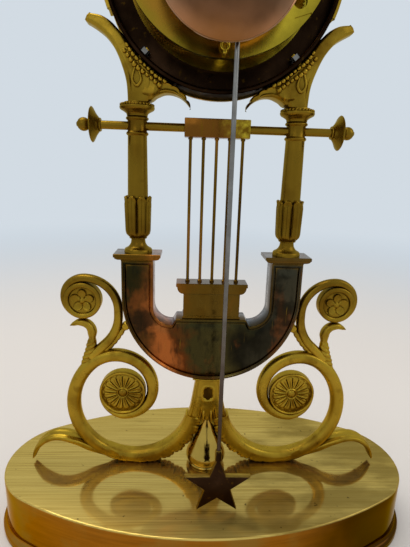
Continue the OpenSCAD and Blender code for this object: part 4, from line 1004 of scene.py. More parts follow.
def build_small_rosettes(sizes):
    """The small rosettes: a broad rim round a flower of cupped petals"""
    half = ROSETTE_T / 2
    petals = sizes.flower_petals
    boss, rim = 0.15, 0.72

    def height(reach, turn):
        if reach > rim:
            return half - 0.9 + 0.9 * math.sin(math.pi * (reach - rim) / (1 - rim)) ** 0.6
        middle = from_middle(turn * petals + 0.25)
        edge = 0.3 + 0.32 * max(math.cos(math.pi * middle), 0.0) ** 0.6
        if reach < boss:
            return half - 0.2 - 0.7 * (reach / boss) ** 2
        if reach < edge:
            cup = (reach - boss) / (edge - boss)
            sides = 0.8 * (2 * abs(middle)) ** 3
            return half - 1.5 + 1.3 * cup ** 2 + 0.5 * (1 - cup) ** 2 - sides
        return half - 1.7

    build_rosettes("flower_rosettes", "small_rosettes", SMALL_ROSETTE_R, 24 * petals, 40, height)


# Stem and drop

STEM_HALF = 5.5
STEM_TOP_W = 15.7
# How much fuller the drop is than in the frame
PEAR_SWELL = 1.0


def build_stem(sizes):
    """The stem that spreads from the bowl into the scrolls, with a border, a niche and slits"""
    top = LYRE_LOW.z + 0.4
    join = RING_C + (RING_R - RING_T / 2) * heading(197)
    top_half = STEM_TOP_W / 2
    shares = ((0, 0), (0.04, 0.1), (0.19, 0.34), (0.31, 0.52), (0.44, 0.69), (0.61, 0.84),
              (0.78, 0.93), (1, 1))
    spots = [(top_half + across * (join.x - top_half), top - down * (top - join.y))
             for across, down in shares]
    rows = 120
    right = even_points(curve_through(spots, 12), rows)
    left = [Vector((-p.x, p.y)) for p in right]
    niche_mid = top - 11.3
    niche_run = 1.9
    niche_half = 3.3

    def relief(share, across):
        spot = right[round(share * rows)]
        away = abs(across * spot.x)
        over = max(abs(spot.y - niche_mid) - niche_run, 0.0)
        reach = math.hypot(away, over)
        rise = 0.5 * hump(reach, niche_half + 0.2, 0.5) - 0.55 * hump(abs(across), 0.78, 0.05)
        rise -= 1.2 / (1 + math.exp((reach - niche_half + 0.6) / 0.15))
        below = max(niche_mid - niche_run - niche_half - 1.5 - spot.y, 0.0)
        slit = 1.0 + 0.17 * below
        rise -= 2.6 * hump(away, slit, 0.5 + 0.04 * below) * min(below / 2.5, 1.0)
        return rise - 0.8 * hump(away, slit + 2.6, 0.4) * min(below / 5, 1.0)

    bm = bmesh.new()
    deep = [(0, STEM_HALF), (0.5, STEM_HALF - 0.3), (1, RING_T / 2 - 0.1)]
    between(bm, left, right, deep, 160, relief, power=0.42)
    band = arc((0, BOWL_Z), BODY_HALF + 1.1, -79.5, -100.5, 16)
    sweep(bm, band, [(0, 1.0), (1, 1.0)], [(0, 6.2), (1, 6.2)], 16, power=0.6)
    finish_piece(bm, "stem_leaf", "stem", sharp=55)

    bm = bmesh.new()
    fill = chain(arc((0, niche_mid + niche_run), niche_half, 0, 180, 20),
                 arc((0, niche_mid - niche_run), niche_half, 180, 360, 20))
    sunk = STEM_HALF - 0.75
    plate(bm, fill, sunk, -sunk, 0.1, 1)
    finish_piece(bm, "stem_niche", "stem", stands_in=False, finish="string_brass")


def build_drop(sizes):
    """The polished pear drop, with the small calyx leaves round its neck"""
    r = corners("pear_drop")[1].x + PEAR_SWELL
    foot = [(0, -FOOT_PEG_DEEP), (FOOT_PEG_R, -FOOT_PEG_DEEP), (FOOT_PEG_R, 0), (r - 1.6, 0),
            (r - 1.2, 0.4), (r - 1.2, 1.2), (r - 1.6, 1.7)]
    belly = curve_through([(r - 1.9, 1.9), (r - 0.5, 3.2), (r, 5.2), (r - 0.5, 8), (r - 2.2, 11.5),
                           (r - 5.1, 18), (r - 7.8, 24), (r - 9.3, 29), (r - 9.9, 34), (r - 9.7, 40)], 6)
    profile = raised(foot + belly, DECK) + [(r - 9, RING_C.y), (0, RING_C.y)]
    bm = bmesh.new()
    lathe(bm, profile, upright(0, 0), sizes.turn_steps)
    finish_piece(bm, "pear", "pear_drop")

    bm = bmesh.new()
    leaf = curve_through([(3.2, 42), (4.5, 38.5), (4.6, 35), (4.9, 31.5), (6.4, 29.4)], 8)
    leaf = raised(even_points(leaf, 30), DECK)
    thick = [(0, 0.9), (0.6, 0.7), (1, 0.25)]
    deep = [(0, 1.6), (0.5, 2.1), (0.85, 1.2), (1, 0.2)]
    for turn in (45, 135, 225, 315):
        before = set(bm.verts)
        sweep(bm, leaf, thick, deep, 14,
              lambda share, angle: (-0.35 * hump(math.sin(angle), 0.0, 0.25), 0.0), power=0.9)
        bmesh.ops.rotate(bm, cent=(0, 0, 0), matrix=Matrix.Rotation(math.radians(turn), 3, "Z"),
                         verts=added(bm, before))
    finish_piece(bm, "calyx", "stem", stands_in=False)


# Lyre

BODY_HALF = LYRE_HIGH.x
BODY_DEEP = LYRE_HIGH.y
ARM_W = 18.4
ARM_TOP = LYRE_HIGH.z
BOWL_Z = LYRE_LOW.z + BODY_HALF
GAP_Z = DECK + 99.0
GAP_FILLET = 11.0
SEAT_H = 4.0
SEAT_RUN = 3.0
LYRE_WALL = 2.2
STRINGS = 5


def lyre_outline(inset):
    """The lyre's outline drawn in by a distance, always with as many points"""
    half = BODY_HALF - inset
    gap = BODY_HALF - ARM_W + inset
    fillet = GAP_FILLET + inset
    low = GAP_Z - inset
    top = ARM_TOP - inset
    seat = gap - fillet
    step = [Vector((seat - SEAT_RUN * t, low + SEAT_H * (3 * t * t - 2 * t ** 3)))
            for t in (row / 8 for row in range(9))]
    right_gap = line((gap, top), (gap, low + fillet), 8)[:-1]
    right_gap += arc((seat, low + fillet), fillet, 0, -90, 14)[:-1]
    right_gap += step
    left_gap = [Vector((-p.x, p.y)) for p in right_gap]
    outside = line((half, top), (half, BOWL_Z), 6)[:-1] + arc((0, BOWL_Z), half, 0, -180, 72)[:-1]
    outside += line((-half, BOWL_Z), (-half, top), 6)
    bottom = line(step[-1], (-step[-1].x, step[-1].y), 12)[1:-1]
    across_left = line((-half, top), (-gap, top), 4)[1:-1]
    across_right = line((gap, top), (half, top), 4)[1:-1]
    inside = left_gap + bottom[::-1] + right_gap[::-1]
    return outside + across_left + inside + across_right


def outline_wall(bm, profile):
    """A wall round the lyre's outline, from a profile of how far in and which Y level"""
    last = len(profile) - 1
    loops = [lyre_outline(row[0]) for row in profile]
    around = len(loops[0])

    def place(u, v):
        row = round(v * last)
        spot = loops[row][round(u * around) % around]
        return Vector((spot.x, profile[row][1], spot.y))

    wrap(bm, around, last, place)


def build_lyre(sizes):
    """The lyre's moulded rim, and the softly swelling sheets on its front and back"""
    deep = BODY_DEEP
    rim = [(0.0, deep - 0.6), (0.2, deep - 0.2), (0.6, deep), (1.3, deep), (1.55, deep - 0.35),
           (1.8, deep - 0.3), (2.05, deep - 0.5), (LYRE_WALL, deep - 1.0)]
    whole = rim + [(inset, -level) for inset, level in reversed(rim)]
    bm = bmesh.new()
    outline_wall(bm, whole + whole[:1])
    bmesh.ops.remove_doubles(bm, verts=bm.verts, dist=WELD)
    finish_piece(bm, "lyre_rim", "lyre_band")

    face = deep - 0.9
    swell = [(LYRE_WALL, face - 1.6), (LYRE_WALL, face - 0.5), (2.7, face - 0.15), (3.6, face + 0.1),
             (5.2, face + 0.4), (7.0, face + 0.55), (8.7, face + 0.6)]
    for name, node, way in (("lyre_sheet_back", "lyre_back", 1), ("lyre_sheet_front", "lyre_front", -1)):
        bm = bmesh.new()
        outline_wall(bm, [(inset, way * level) for inset, level in swell])
        close_up(bm)
        finish_piece(bm, name, node)


def stepped_block(bm, low, high, profile):
    """A block whose four sides follow a profile of height share, X inset and Y inset"""
    last = len(profile) - 1
    corner_signs = ((1, 1), (-1, 1), (-1, -1), (1, -1))

    def place(u, v):
        share, in_x, in_y = profile[round(v * last)]
        sign = corner_signs[round(u * 4) % 4]
        middle = (low + high) / 2
        return Vector((middle.x + sign[0] * ((high.x - low.x) / 2 - in_x),
                       middle.y + sign[1] * ((high.y - low.y) / 2 - in_y),
                       low.z + share * (high.z - low.z)))

    wrap(bm, 4, last, place)
    close_up(bm)


def cove(low_share, high_share, deep_x, deep_y, steps):
    """Rows of a hollow curve that draws in towards its foot"""
    rows = []
    for step in range(steps + 1):
        angle = math.pi / 2 * step / steps
        share = high_share + (low_share - high_share) * math.sin(angle)
        draw = 1 - math.cos(angle)
        rows.append((share, deep_x * (0.15 + 0.85 * draw), deep_y * (0.15 + 0.85 * draw)))
    return rows[::-1]


def build_caps(sizes):
    """The moulded caps on the lyre's arms"""
    reach = CAP_HIGH.x - BODY_HALF
    low = Vector((2 * COLUMN_X - CAP_HIGH.x, CAP_LOW.y, CAP_LOW.z))
    profile = [(0.0, reach, 0.9), (0.12, reach, 0.9)] + cove(0.14, 0.5, reach - 0.6, 0.8, 7)
    profile += [(0.52, 0.1, 0.1), (0.56, 0.0, 0.0), (0.94, 0.0, 0.0), (1.0, 0.25, 0.25)]
    bm = bmesh.new()
    stepped_block(bm, low, CAP_HIGH, profile)
    add_mirror(bm)
    finish_piece(bm, "arm_caps", "plinth_caps", sharp=30)


def build_bridge(sizes):
    """The bridge that the strings stand on, hollow-curved under its top"""
    high_step = 1 - 2.0 / (BRIDGE_HIGH.z - BRIDGE_LOW.z)
    cove_foot = high_step - 4.4 / (BRIDGE_HIGH.z - BRIDGE_LOW.z)
    profile = [(0.0, 3.9, 0.0), (0.06, 3.9, 0.0), (0.08, 4.4, 0.5), (cove_foot - 0.02, 4.4, 0.5)]
    profile += cove(cove_foot, high_step - 0.01, 4.4, 0.5, 8)
    profile += [(high_step, 0.0, 0.0), (0.985, 0.0, 0.0), (1.0, 0.3, 0.3)]
    bm = bmesh.new()
    stepped_block(bm, BRIDGE_LOW, BRIDGE_HIGH, profile)
    finish_piece(bm, "string_bridge", "bridge", sharp=30)


def build_strings(sizes):
    """The five strings, each with a small collar at both ends"""
    low, high = corners("strings")
    radius = (high.y - low.y) / 2
    profile = [(0, low.z), (radius + 0.5, low.z), (radius + 0.5, low.z + 0.9), (radius, low.z + 1.3),
               (radius, high.z - 1.3), (radius + 0.4, high.z - 0.9), (radius + 0.4, high.z), (0, high.z)]
    bm = bmesh.new()
    for spot in line((low.x + radius, 0), (high.x - radius, 0), STRINGS - 1):
        lathe(bm, profile, upright(spot.x, 0), 20)
    finish_piece(bm, "string_rods", "strings", finish="string_brass")


def build_tailpiece(sizes):
    """The block that holds the strings, and the crossbar through it with its turned finials"""
    bm = bmesh.new()
    block(bm, TAIL_LOW, TAIL_HIGH, 0.45)
    finish_piece(bm, "string_block", "tailpiece")

    level = (ROD_LOW.z + ROD_HIGH.z) / 2
    radius = (ROD_HIGH.z - ROD_LOW.z) / 2
    reach = ROD_HIGH.x
    bm = bmesh.new()
    profile = [(0, -reach), (radius - 0.2, -reach), (radius, -reach + 0.2), (radius, reach - 0.2),
               (radius - 0.2, reach), (0, reach)]
    lathe(bm, profile, to_side(0, level), 32)
    finish_piece(bm, "cross_rod", "crossbar")

    disc = (FINIAL_HIGH.z - FINIAL_LOW.z) / 2
    start = reach - 5
    end = FINIAL_HIGH.x
    profile = [(radius + 0.05, 0), (radius + 1.2, 0), (radius + 1.4, 0.5), (radius + 1.2, 0.9)]
    profile += curve_through([(4.0, 1.1), (disc - 3.6, 2.5), (disc - 0.4, 4.3)], 5)
    profile += [(disc, 4.7), (disc - 0.3, 5.0)]
    profile += curve_through([(disc - 1, 5.0), (disc - 4, 5.4), (3.2, 6.2)], 4)
    profile += [(2.5, 6.5)]
    profile += [(p.y, p.x) for p in arc((end - start - 3.9, 0), 3.6, 145, 40, 12)]
    profile = raised(profile, start) + [(1.5, end - 0.7), (1.1, end - 0.2), (0, end)]
    bm = bmesh.new()
    lathe(bm, profile, to_side(0, level), 48)
    add_mirror(bm)
    finish_piece(bm, "rod_finials", "finials")


# Columns

def build_columns(sizes):
    """The turned columns"""
    foot = CAP_HIGH.z
    tall = COLUMN_HIGH.z - foot
    rod = (ROD_LOW.z + ROD_HIGH.z) / 2 - foot
    core_top = SHEATH_HIGH.z - foot
    r = 5.7
    profile = [(0, 0), (8.1, 0), (8.1, 1.2), (7.9, 1.8)]
    profile += curve_through([(7.6, 2.3), (5.6, 3.5), (4.3, 5.6), (4.0, 8.0)], 5)
    profile += [(4.9, 8.2), (5.1, 8.6), (4.9, 9.0), (4.5, 9.2), (4.5, core_top - 1), (r, core_top - 1)]
    profile += line((r, core_top), (r - 0.45, rod - 5), 6)
    for level, swell in ((rod - 4, 0.8), (tall - 1.2, 0.9)):
        profile += [(r - 0.45, level - 1.3)]
        profile += [(r - 0.4 + swell * math.sin(math.pi * row / 8), level + 1.1 * (row / 4 - 1))
                    for row in range(9)]
        profile += [(r - 0.45, level + 1.2)]
    profile += [(0, tall)]
    both_sides("pillar", "column", lambda bm: lathe(bm, profile, upright(COLUMN_X, foot), 48))


def build_sheaths(sizes):
    """The leaf sheaths round the columns' feet: pointed leaves with a rib and deep lines between"""
    foot, tall = SHEATH_LOW.z, SHEATH_HIGH.z - SHEATH_LOW.z
    leaves = sizes.sheath_leaves
    swell = [(0, 5.1), (0.07, 6.6), (0.13, 6.9), (0.86, 7.4), (0.97, 7.6), (1.0, 7.3)]
    outside = 0.86

    def place(u, v):
        middle = from_middle(u * leaves)
        edge = tall - 2.6 * (2 * abs(middle)) ** 2.6
        if v <= outside:
            share = v / outside
            radius = look_up(swell, share)
            fade = min(share * 6, 1.0)
            radius += fade * (0.45 * math.cos(math.pi * middle) - 0.9 * hump(abs(middle), 0.5, 0.05))
            border = max(abs(middle) / 0.36, (share - 0.1) / 0.8)
            radius -= fade * (0.3 * hump(abs(middle), 0.0, 0.04) + 0.4 * hump(border, 1.0, 0.07))
            height = edge * share
        else:
            inward = (v - outside) / (1 - outside)
            radius = look_up([(0, 7.2), (0.3, 6.6), (1, 4.5)], inward)
            height = edge - 1.6 * inward
        turn = radius * heading(360 * u)
        return Vector((COLUMN_X + turn.x, turn.y, foot + height))

    bm = bmesh.new()
    wrap(bm, 20 * leaves, 30, place)
    close_up(bm)
    add_mirror(bm)
    finish_piece(bm, "leaf_sheaths", "sheaths", sharp=60)


def build_collars(sizes):
    """The flared collars under the capitals, with a ring of beads"""
    foot = COLLAR_LOW.z
    r = (COLLAR_HIGH.y - COLLAR_LOW.y) / 2
    flare = curve_through([(5.7, 0.6), (6.0, 1.3), (7.4, 2.3), (r - 0.5, 3.2), (r, 4.2)], 5)
    profile = [(0, 0), (5.6, 0), *flare, (r - 0.1, 4.9), (r - 0.6, 5.2), (r - 1.1, 5.3), (r - 1.6, 6.0),
               (r - 2.4, 6.2), (r - 2.6, 7), (0, 7)]
    bm = bmesh.new()
    lathe(bm, profile, upright(COLUMN_X, foot), 64)
    for bead in range(sizes.beads):
        turn = (r - 0.85) * heading(360 * bead / sizes.beads)
        ball(bm, (COLUMN_X + turn.x, turn.y, foot + 5.6), sizes.bead_size / MM)
    add_mirror(bm)
    finish_piece(bm, "beaded_collars", "collars")


# Capitals

DRUM_R = 59.5
CAPITAL_STEPS = 64


def toothed(points, depth, teeth):
    """An even run of points whose far part is cut into teeth"""
    last = CAPITAL_STEPS * 2
    run = even_points(points, last)
    worn = []
    for spot, point in enumerate(run):
        ahead = (run[min(spot + 1, last)] - run[max(spot - 1, 0)]).normalized()
        share = spot / last
        bite = 1 - abs(math.sin(math.pi * teeth * share)) ** 0.5
        bite *= depth * min(max(share - 0.3, 0.0) * 4, 1.0)
        worn.append(point + bite * Vector((-ahead.y, ahead.x)))
    return worn


def add_berries(bm, centre, face, sizes):
    """Two rows of uneven berries under the drum, on one face of a capital"""
    for row, (drop, level) in enumerate(((1.7, 6.9), (4.5, 7.5))):
        for berry in range(sizes.berries - row):
            turn = -62 + 26 * (berry + 0.5 * row) / sizes.berries
            uneven = math.sin(7.3 * berry + 2.1 * row)
            spot = centre + (DRUM_R + drop + 0.3 * uneven) * heading(turn)
            ball(bm, (spot.x, face * level, spot.y), sizes.berry_size / MM * (1 + 0.14 * uneven))


def build_capitals(sizes):
    """The capitals: a leaf that rolls outwards, one that droops inwards, berries and an eye"""
    foot = COLLAR_HIGH.z
    centre = Vector((-COLUMN_X, MOVEMENT_Z - foot))
    saddle = arc(centre, DRUM_R, -57, -33, 20)
    outer = curve_through([(4.7, 0), (5.2, 9), (7.3, 17), (10.8, 25), (15.4, 31), (20.2, 34.6),
                           (25.2, 37.3)], 8)
    upper = curve_through([saddle[-1], (8, 33.4), (12.3, 37.5), (17.2, 40.1), (22.8, 41)], 8)
    inner = chain(line((-6.8, 0), (-9.6, 3.0), 6), line((-9.6, 3.0), saddle[0], 10), saddle, upper)
    low_run = curve_through([(2, 0.5), (-6.8, 0.3), (-10.8, 2.8), (-15.5, 4.6), (-21, 4), (-25.6, 1.4),
                             (-29, -2.4)], 10)
    high_run = chain(arc(centre, DRUM_R + 0.1, -47, -66, 16),
                     curve_through([(-19.6, 9.8), (-23.9, 6.4), (-27.6, 2.2), (-29.4, -2.3)], 8))
    lip = even_points([Vector((22.7, 40.8)), Vector((25.1, 37.5))], 6)
    eye = curve_through([(-0.6, 18.0), (-2.4, 13.0), (-2.9, 10.0), (-0.9, 7.2), (1.3, 9.6), (1.1, 13.0),
                         (-0.6, 18.0)], 8)[:-1]
    body_deep = [(0, 5.6), (0.15, 6.6), (0.4, 7.4), (0.7, 7.0), (0.9, 6.0), (1, 4.8)]
    droop_deep = [(0, 5.5), (0.3, 7.0), (0.7, 5.6), (0.92, 2.6), (1, 0.4)]
    to_drum = Matrix.Translation((0, 5.4, MOVEMENT_Z)) @ Matrix.Rotation(math.radians(136), 4, "Y")

    def body_relief(share, across):
        folds = sum(hump(across, spot * (1 - 0.25 * share), 0.06) for spot in (-0.72, -0.36, 0.36, 0.72))
        return -1.1 * folds * min(share * 6, 1.0) * max(1 - share / 0.62, 0.0)

    def droop_relief(share, across):
        return 0.45 * math.cos(4 * math.pi * across) - 0.7 * hump(across, 0.0, 0.12)

    def make(bm):
        between(bm, even_points(inner, CAPITAL_STEPS), even_points(outer, CAPITAL_STEPS), body_deep, 64,
                body_relief, power=0.5)
        between(bm, toothed(high_run, 1.3, 7), even_points(low_run, CAPITAL_STEPS * 2), droop_deep, 40,
                droop_relief, power=0.55)
        sweep(bm, lip, [(0, 0.7), (0.5, 1.0), (1, 0.7)], [(0, 4.6), (0.5, 5.2), (1, 4.4)], 16)
        for face in (1, -1):
            add_berries(bm, centre, face, sizes)
            before = set(bm.verts)
            sweep(bm, eye, [(0, 0.5), (0.5, 0.75), (1, 0.5)], [(0, 0.6), (0.5, 0.9), (1, 0.6)], 10)
            bmesh.ops.translate(bm, vec=(0, face * 7.3, 0), verts=added(bm, before))
        bmesh.ops.translate(bm, vec=(COLUMN_X, 0, foot), verts=bm.verts)
        peg(bm, 2.5, foot - 9, foot + 4, upright(COLUMN_X, 0))
        peg(bm, 1.3, DRUM_R - 5.4, DRUM_R + 2, to_drum, 20)

    both_sides("capital", "bracket", make, sharp=50)


# Drum, dial, bezel, bell and star

def build_drum(sizes):
    """The rolled rim at the drum's back, and the hoop round its upper part"""
    back = corners("drum_case")[1].y
    bm = bmesh.new()
    lathe(bm, arc((DRUM_R - 1.0, back - 0.5), 1.25, 0, 360, 14), to_back(0, MOVEMENT_Z), 120)
    finish_piece(bm, "drum_back_rim", "drum_case", stands_in=False)

    low, high = corners("drum_hoop")
    rows = [(0.0, 0.1), (0.0, 1.6), (0.12, 2.0), (0.3, 1.5), (0.7, 1.5), (0.88, 2.0), (1.0, 1.6),
            (1.0, 0.1), (0.0, 0.1)]
    last = len(rows) - 1

    def place(u, v):
        share, rise = rows[round(v * last)]
        turn = (DRUM_R + rise) * heading(-21 + 222 * u)
        return Vector((turn.x, low.y + share * (high.y - low.y), MOVEMENT_Z + turn.y))

    bm = bmesh.new()
    wrap(bm, 150, last, place)
    close_up(bm)
    finish_piece(bm, "drum_band", "drum_hoop")


NUMERALS = ("XII", "I", "II", "III", "IIII", "V", "VI", "VII", "VIII", "IX", "X", "XI")
LETTER_WIDTHS = {"I": 0.32, "V": 0.74, "X": 0.76}
# Across values of a letter's strokes: two at its foot, then two at its head
LETTER_STROKES = {
    "I": ((-0.07, 0.07, 0.07, -0.07),),
    "V": ((-0.06, 0.06, -0.15, -0.31), (-0.03, 0.03, 0.27, 0.22)),
    "X": ((0.18, 0.34, -0.18, -0.34), (-0.28, -0.23, 0.28, 0.23)),
}
SERIF_T = 0.04
NUMERAL_R = 38.6
TRACK_IN_R, TRACK_OUT_R = 45.6, 47.9
PAINT_T = 0.09


def numeral_strokes(text):
    """Four-sided strokes of a numeral that is 1 high, centred on its middle"""
    half = sum(LETTER_WIDTHS[letter] for letter in text) / 2
    left = -half
    strokes = []
    for letter in text:
        middle = left + LETTER_WIDTHS[letter] / 2
        for a, b, c, d in LETTER_STROKES[letter]:
            strokes.append(((middle + a, -0.5), (middle + b, -0.5), (middle + c, 0.5), (middle + d, 0.5)))
        left += LETTER_WIDTHS[letter]
    for low in (-0.5, 0.5 - SERIF_T):
        strokes.append(((-half, low), (half, low), (half, low + SERIF_T), (-half, low + SERIF_T)))
    return strokes


def build_dial_marks(sizes):
    """The dial's black numerals and minute track"""
    front = DIAL_LOW.y
    tall = sizes.numeral_height / MM
    bm = bmesh.new()

    def mark(points, turn):
        swing = math.radians(turn)
        outline = [(across * math.cos(swing) + up * math.sin(swing),
                    MOVEMENT_Z + up * math.cos(swing) - across * math.sin(swing)) for across, up in points]
        plate(bm, outline, front, front - PAINT_T, 0)

    for hour, text in enumerate(NUMERALS):
        for stroke in numeral_strokes(text):
            mark([(across * tall * 0.8, NUMERAL_R + up * tall) for across, up in stroke], 30 * hour)
    for minute in range(60):
        half = 0.5 if minute % 5 == 0 else 0.2
        bar = [(-half, TRACK_IN_R), (half, TRACK_IN_R), (half, TRACK_OUT_R), (-half, TRACK_OUT_R)]
        mark(bar, 6 * minute)
    for radius in (TRACK_IN_R, TRACK_OUT_R):
        low, high = radius - 0.15, radius + 0.15
        lathe(bm, [(low, 0), (high, 0), (high, PAINT_T), (low, PAINT_T), (low, 0)],
              to_front(0, MOVEMENT_Z, front), 120)
    finish_piece(bm, "dial_marks", "dial", stands_in=False, finish="dial_black")


BEZEL_OUT_R = 60.5
BEZEL_IN_R = 50.0
GLASS_T = 1.5
BELL_WALL = 1.8


def build_bezel(sizes):
    """The turned bezel with its hinge knuckle, and the domed glass in it"""
    seat = BEZEL_HIGH.y
    out, inner = BEZEL_OUT_R, BEZEL_IN_R
    depth = seat - BEZEL_LOW.y
    bulge = curve_through([(out, 2.0), (out - 0.5, 3.2), (out - 1.6, 4.4), (out - 2.4, 4.6)], 4)
    roll = arc((out - 4.1, depth - 1.7), 1.7, 0, 180, 14)
    profile = [(inner, 0), (out - 0.3, 0), (out, 0.3), *bulge, *roll, (out - 6.0, 4.3), (out - 7.2, 4.5),
               (inner + 2.4, 4.2), (inner + 1.6, 3.9), (inner + 1.6, 3), (inner, 3), (inner, 0)]
    bm = bmesh.new()
    lathe(bm, profile, to_front(0, MOVEMENT_Z, seat), 144)
    pin_low, pin_high = corners("hinge_pin")
    pin = (pin_low + pin_high) / 2
    knuckle = [(1.05, -2.8), (2.2, -2.8), (2.4, -2.6), (2.4, 2.6), (2.2, 2.8), (1.05, 2.8), (1.05, -2.8)]
    lathe(bm, knuckle, upright(pin.x, MOVEMENT_Z, pin.y), 32)
    block(bm, (59.6, seat - 3, MOVEMENT_Z - 2.8), (pin.x - 1.2, seat, MOVEMENT_Z + 2.8), 0.25)
    finish_piece(bm, "bezel_ring", "bezel")

    def dome(rise):
        ball_r = (GLASS_HIGH.x ** 2 + rise ** 2) / (2 * rise)
        reaches = [GLASS_HIGH.x * row / 40 for row in range(41)]
        return [(reach, math.sqrt(ball_r ** 2 - reach ** 2) - ball_r + rise) for reach in reaches]

    rise = GLASS_HIGH.y - GLASS_LOW.y
    bm = bmesh.new()
    lathe(bm, dome(rise) + dome(rise - GLASS_T)[::-1], to_front(0, MOVEMENT_Z, GLASS_HIGH.y), 96)
    finish_piece(bm, "dial_glass", "glass")


def build_bell(sizes):
    """The polished bell with a rounded lip"""
    rise = BELL_HIGH.y - BELL_LOW.y
    radius = (BELL_HIGH.x - BELL_LOW.x) / 2
    middle = (BELL_LOW.z + BELL_HIGH.z) / 2
    ball_r = radius ** 2 / (2 * rise) + rise / 2
    swing = math.degrees(math.asin(radius / ball_r))
    rows = 36

    def shell(shell_r, first):
        turns = [heading(90 - swing * row / rows) for row in range(first, rows)]
        return [(shell_r * turn.x, shell_r * turn.y - ball_r + rise) for turn in turns]

    crown = shell(ball_r, 2)
    crown[0] = (2.1, crown[0][1])
    lip = [(radius - 0.05, 0.9), (radius, 0.4), (radius - 0.4, 0.0), (radius - 1.6, 0.0)]
    hollow = [spot for spot in reversed(shell(ball_r - BELL_WALL, 3)) if spot[1] > 0.3]
    bm = bmesh.new()
    lathe(bm, [*crown, *lip, *hollow, crown[0]], to_back(0, middle, BELL_LOW.y), 120)
    finish_piece(bm, "bell_cup", "bell")


def build_star(sizes):
    """The pendulum's star with rounded edges, and its ferrule"""
    middle_x = (STAR_LOW.x + STAR_HIGH.x) / 2
    back, front = STAR_HIGH.y, STAR_LOW.y
    reach = (STAR_HIGH.x - STAR_LOW.x) / 2 / math.cos(math.radians(18))
    centre = Vector((middle_x, STAR_LOW.z + reach * math.cos(math.radians(36))))
    points = []
    for turn in range(90, 450, 72):
        points.append(centre + reach * heading(turn))
        points.append(centre + 0.4 * reach * heading(turn + 36))
    bm = bmesh.new()
    plate(bm, points, back - 0.2, front + 0.2, 0.7, 3)
    ferrule = [(1.1, -1), (1.7, -3.2), (2.0, -3), (2.0, 2.2), (1.7, 2.9), (1.15, 3), (1.12, -1)]
    lathe(bm, ferrule, upright(middle_x, centre.y + reach, (back + front) / 2), 28)
    finish_piece(bm, "pendulum_star", "star", sharp=25)


# Stage

CAMERA_AT = (15.2, 238.9, 227.2)
CAMERA_YAW = 2.64
CAMERA_PITCH = 14.21
CAMERA_ROLL = -1.86
FOCUS_PIXELS = 411.0
PHOTO_HEIGHT = 547
FLOOR_R = 6.0
LAMP_AIM = (0, 0, 0.18)
# Name, place, size and power of each lamp, in metres and watts
LAMPS = (
    ("key_lamp", (0.35, -0.1, 1.25), 0.8, 6.5),
    ("side_lamp", (-0.9, 0.3, 0.8), 0.7, 2.0),
    ("near_lamp", (0.45, 0.9, 0.75), 0.5, 0.6),
)


def place_camera():
    """The camera at the photograph's angle, on the side of the movement"""
    yaw, pitch, roll = (math.radians(value) for value in (CAMERA_YAW, CAMERA_PITCH, CAMERA_ROLL))
    ahead = Vector((-math.sin(yaw) * math.cos(pitch), -math.cos(yaw) * math.cos(pitch), -math.sin(pitch)))
    level = Vector((-math.cos(yaw), math.sin(yaw), 0))
    down = ahead.cross(level)
    right = math.cos(roll) * level + math.sin(roll) * down
    up = math.sin(roll) * level - math.cos(roll) * down
    lens = bpy.data.cameras.new("camera")
    lens.sensor_width = 36.0
    lens.lens = FOCUS_PIXELS / PHOTO_HEIGHT * lens.sensor_width
    lens.clip_start = 0.01
    camera = bpy.data.objects.new("camera", lens)
    turn = Matrix((right, up, -ahead)).transposed().to_4x4()
    camera.matrix_world = Matrix.Translation(Vector(CAMERA_AT) * MM) @ turn
    bpy.context.scene.collection.objects.link(camera)
    bpy.context.scene.camera = camera


def floor(bench, tones):
    """Plain floor that runs into the colour of the background"""
    away = bench.add("ShaderNodeVectorMath", {"operation": "LENGTH"})
    bench.feed(away.inputs[0], bench.spots["Object"])
    far = bench.step(away.outputs["Value"], 0.3, 1.6)
    bench.shade(Base_Color=bench.mix(far, tones.floor, tones.backdrop), Roughness=0.85)
    glow = bench.add("ShaderNodeEmission", Color=(*tones.backdrop, 1.0), Strength=1.0)
    bench.blend(far, glow)


def place_floor(tones):
    """A wide round floor"""
    bm = bmesh.new()
    bmesh.ops.create_circle(bm, cap_ends=True, radius=FLOOR_R, segments=96)
    mesh = bpy.data.meshes.new("floor")
    bm.to_mesh(mesh)
    bm.free()
    mesh.materials.append(new_material(floor, tones))
    disc = bpy.data.objects.new("floor", mesh)
    bpy.context.scene.collection.objects.link(disc)


def place_lamp(name, spot, size, power):
    """A soft square lamp that points at the clock"""
    lamp = bpy.data.lights.new(name, "AREA")
    lamp.size = size
    lamp.energy = power
    holder = bpy.data.objects.new(name, lamp)
    holder.location = spot
    holder.rotation_euler = (Vector(LAMP_AIM) - Vector(spot)).to_track_quat("-Z", "Y").to_euler()
    bpy.context.scene.collection.objects.link(holder)


def light_world(tones):
    """A pale background, which lights the clock less from below and from the camera's side"""
    world = bpy.data.worlds.new("studio")
    bpy.context.scene.world = world
    bench = Bench(world, "Background")
    way = bench.add("ShaderNodeSeparateXYZ", Vector=bench.spots["Generated"]).outputs
    slope = bench.plus(way["Z"], way["Y"], -0.6)
    share = bench.add("ShaderNodeMapRange", Value=slope, From_Min=-0.7, From_Max=0.6).outputs["Result"]
    rays = bench.add("ShaderNodeLightPath").outputs
    for ray in ("Is Camera Ray", "Is Glossy Ray", "Is Transmission Ray"):
        share = bench.math("MAXIMUM", share, rays[ray])
    bench.shade(Color=bench.mix(share, tones.room, tones.backdrop))


def build_stage(tones):
    """The floor, the lamps, the background and the camera"""
    bpy.context.scene.view_settings.view_transform = "Standard"
    place_floor(tones)
    place_camera()
    light_world(tones)
    for lamp in LAMPS:
        place_lamp(*lamp)


# Operators

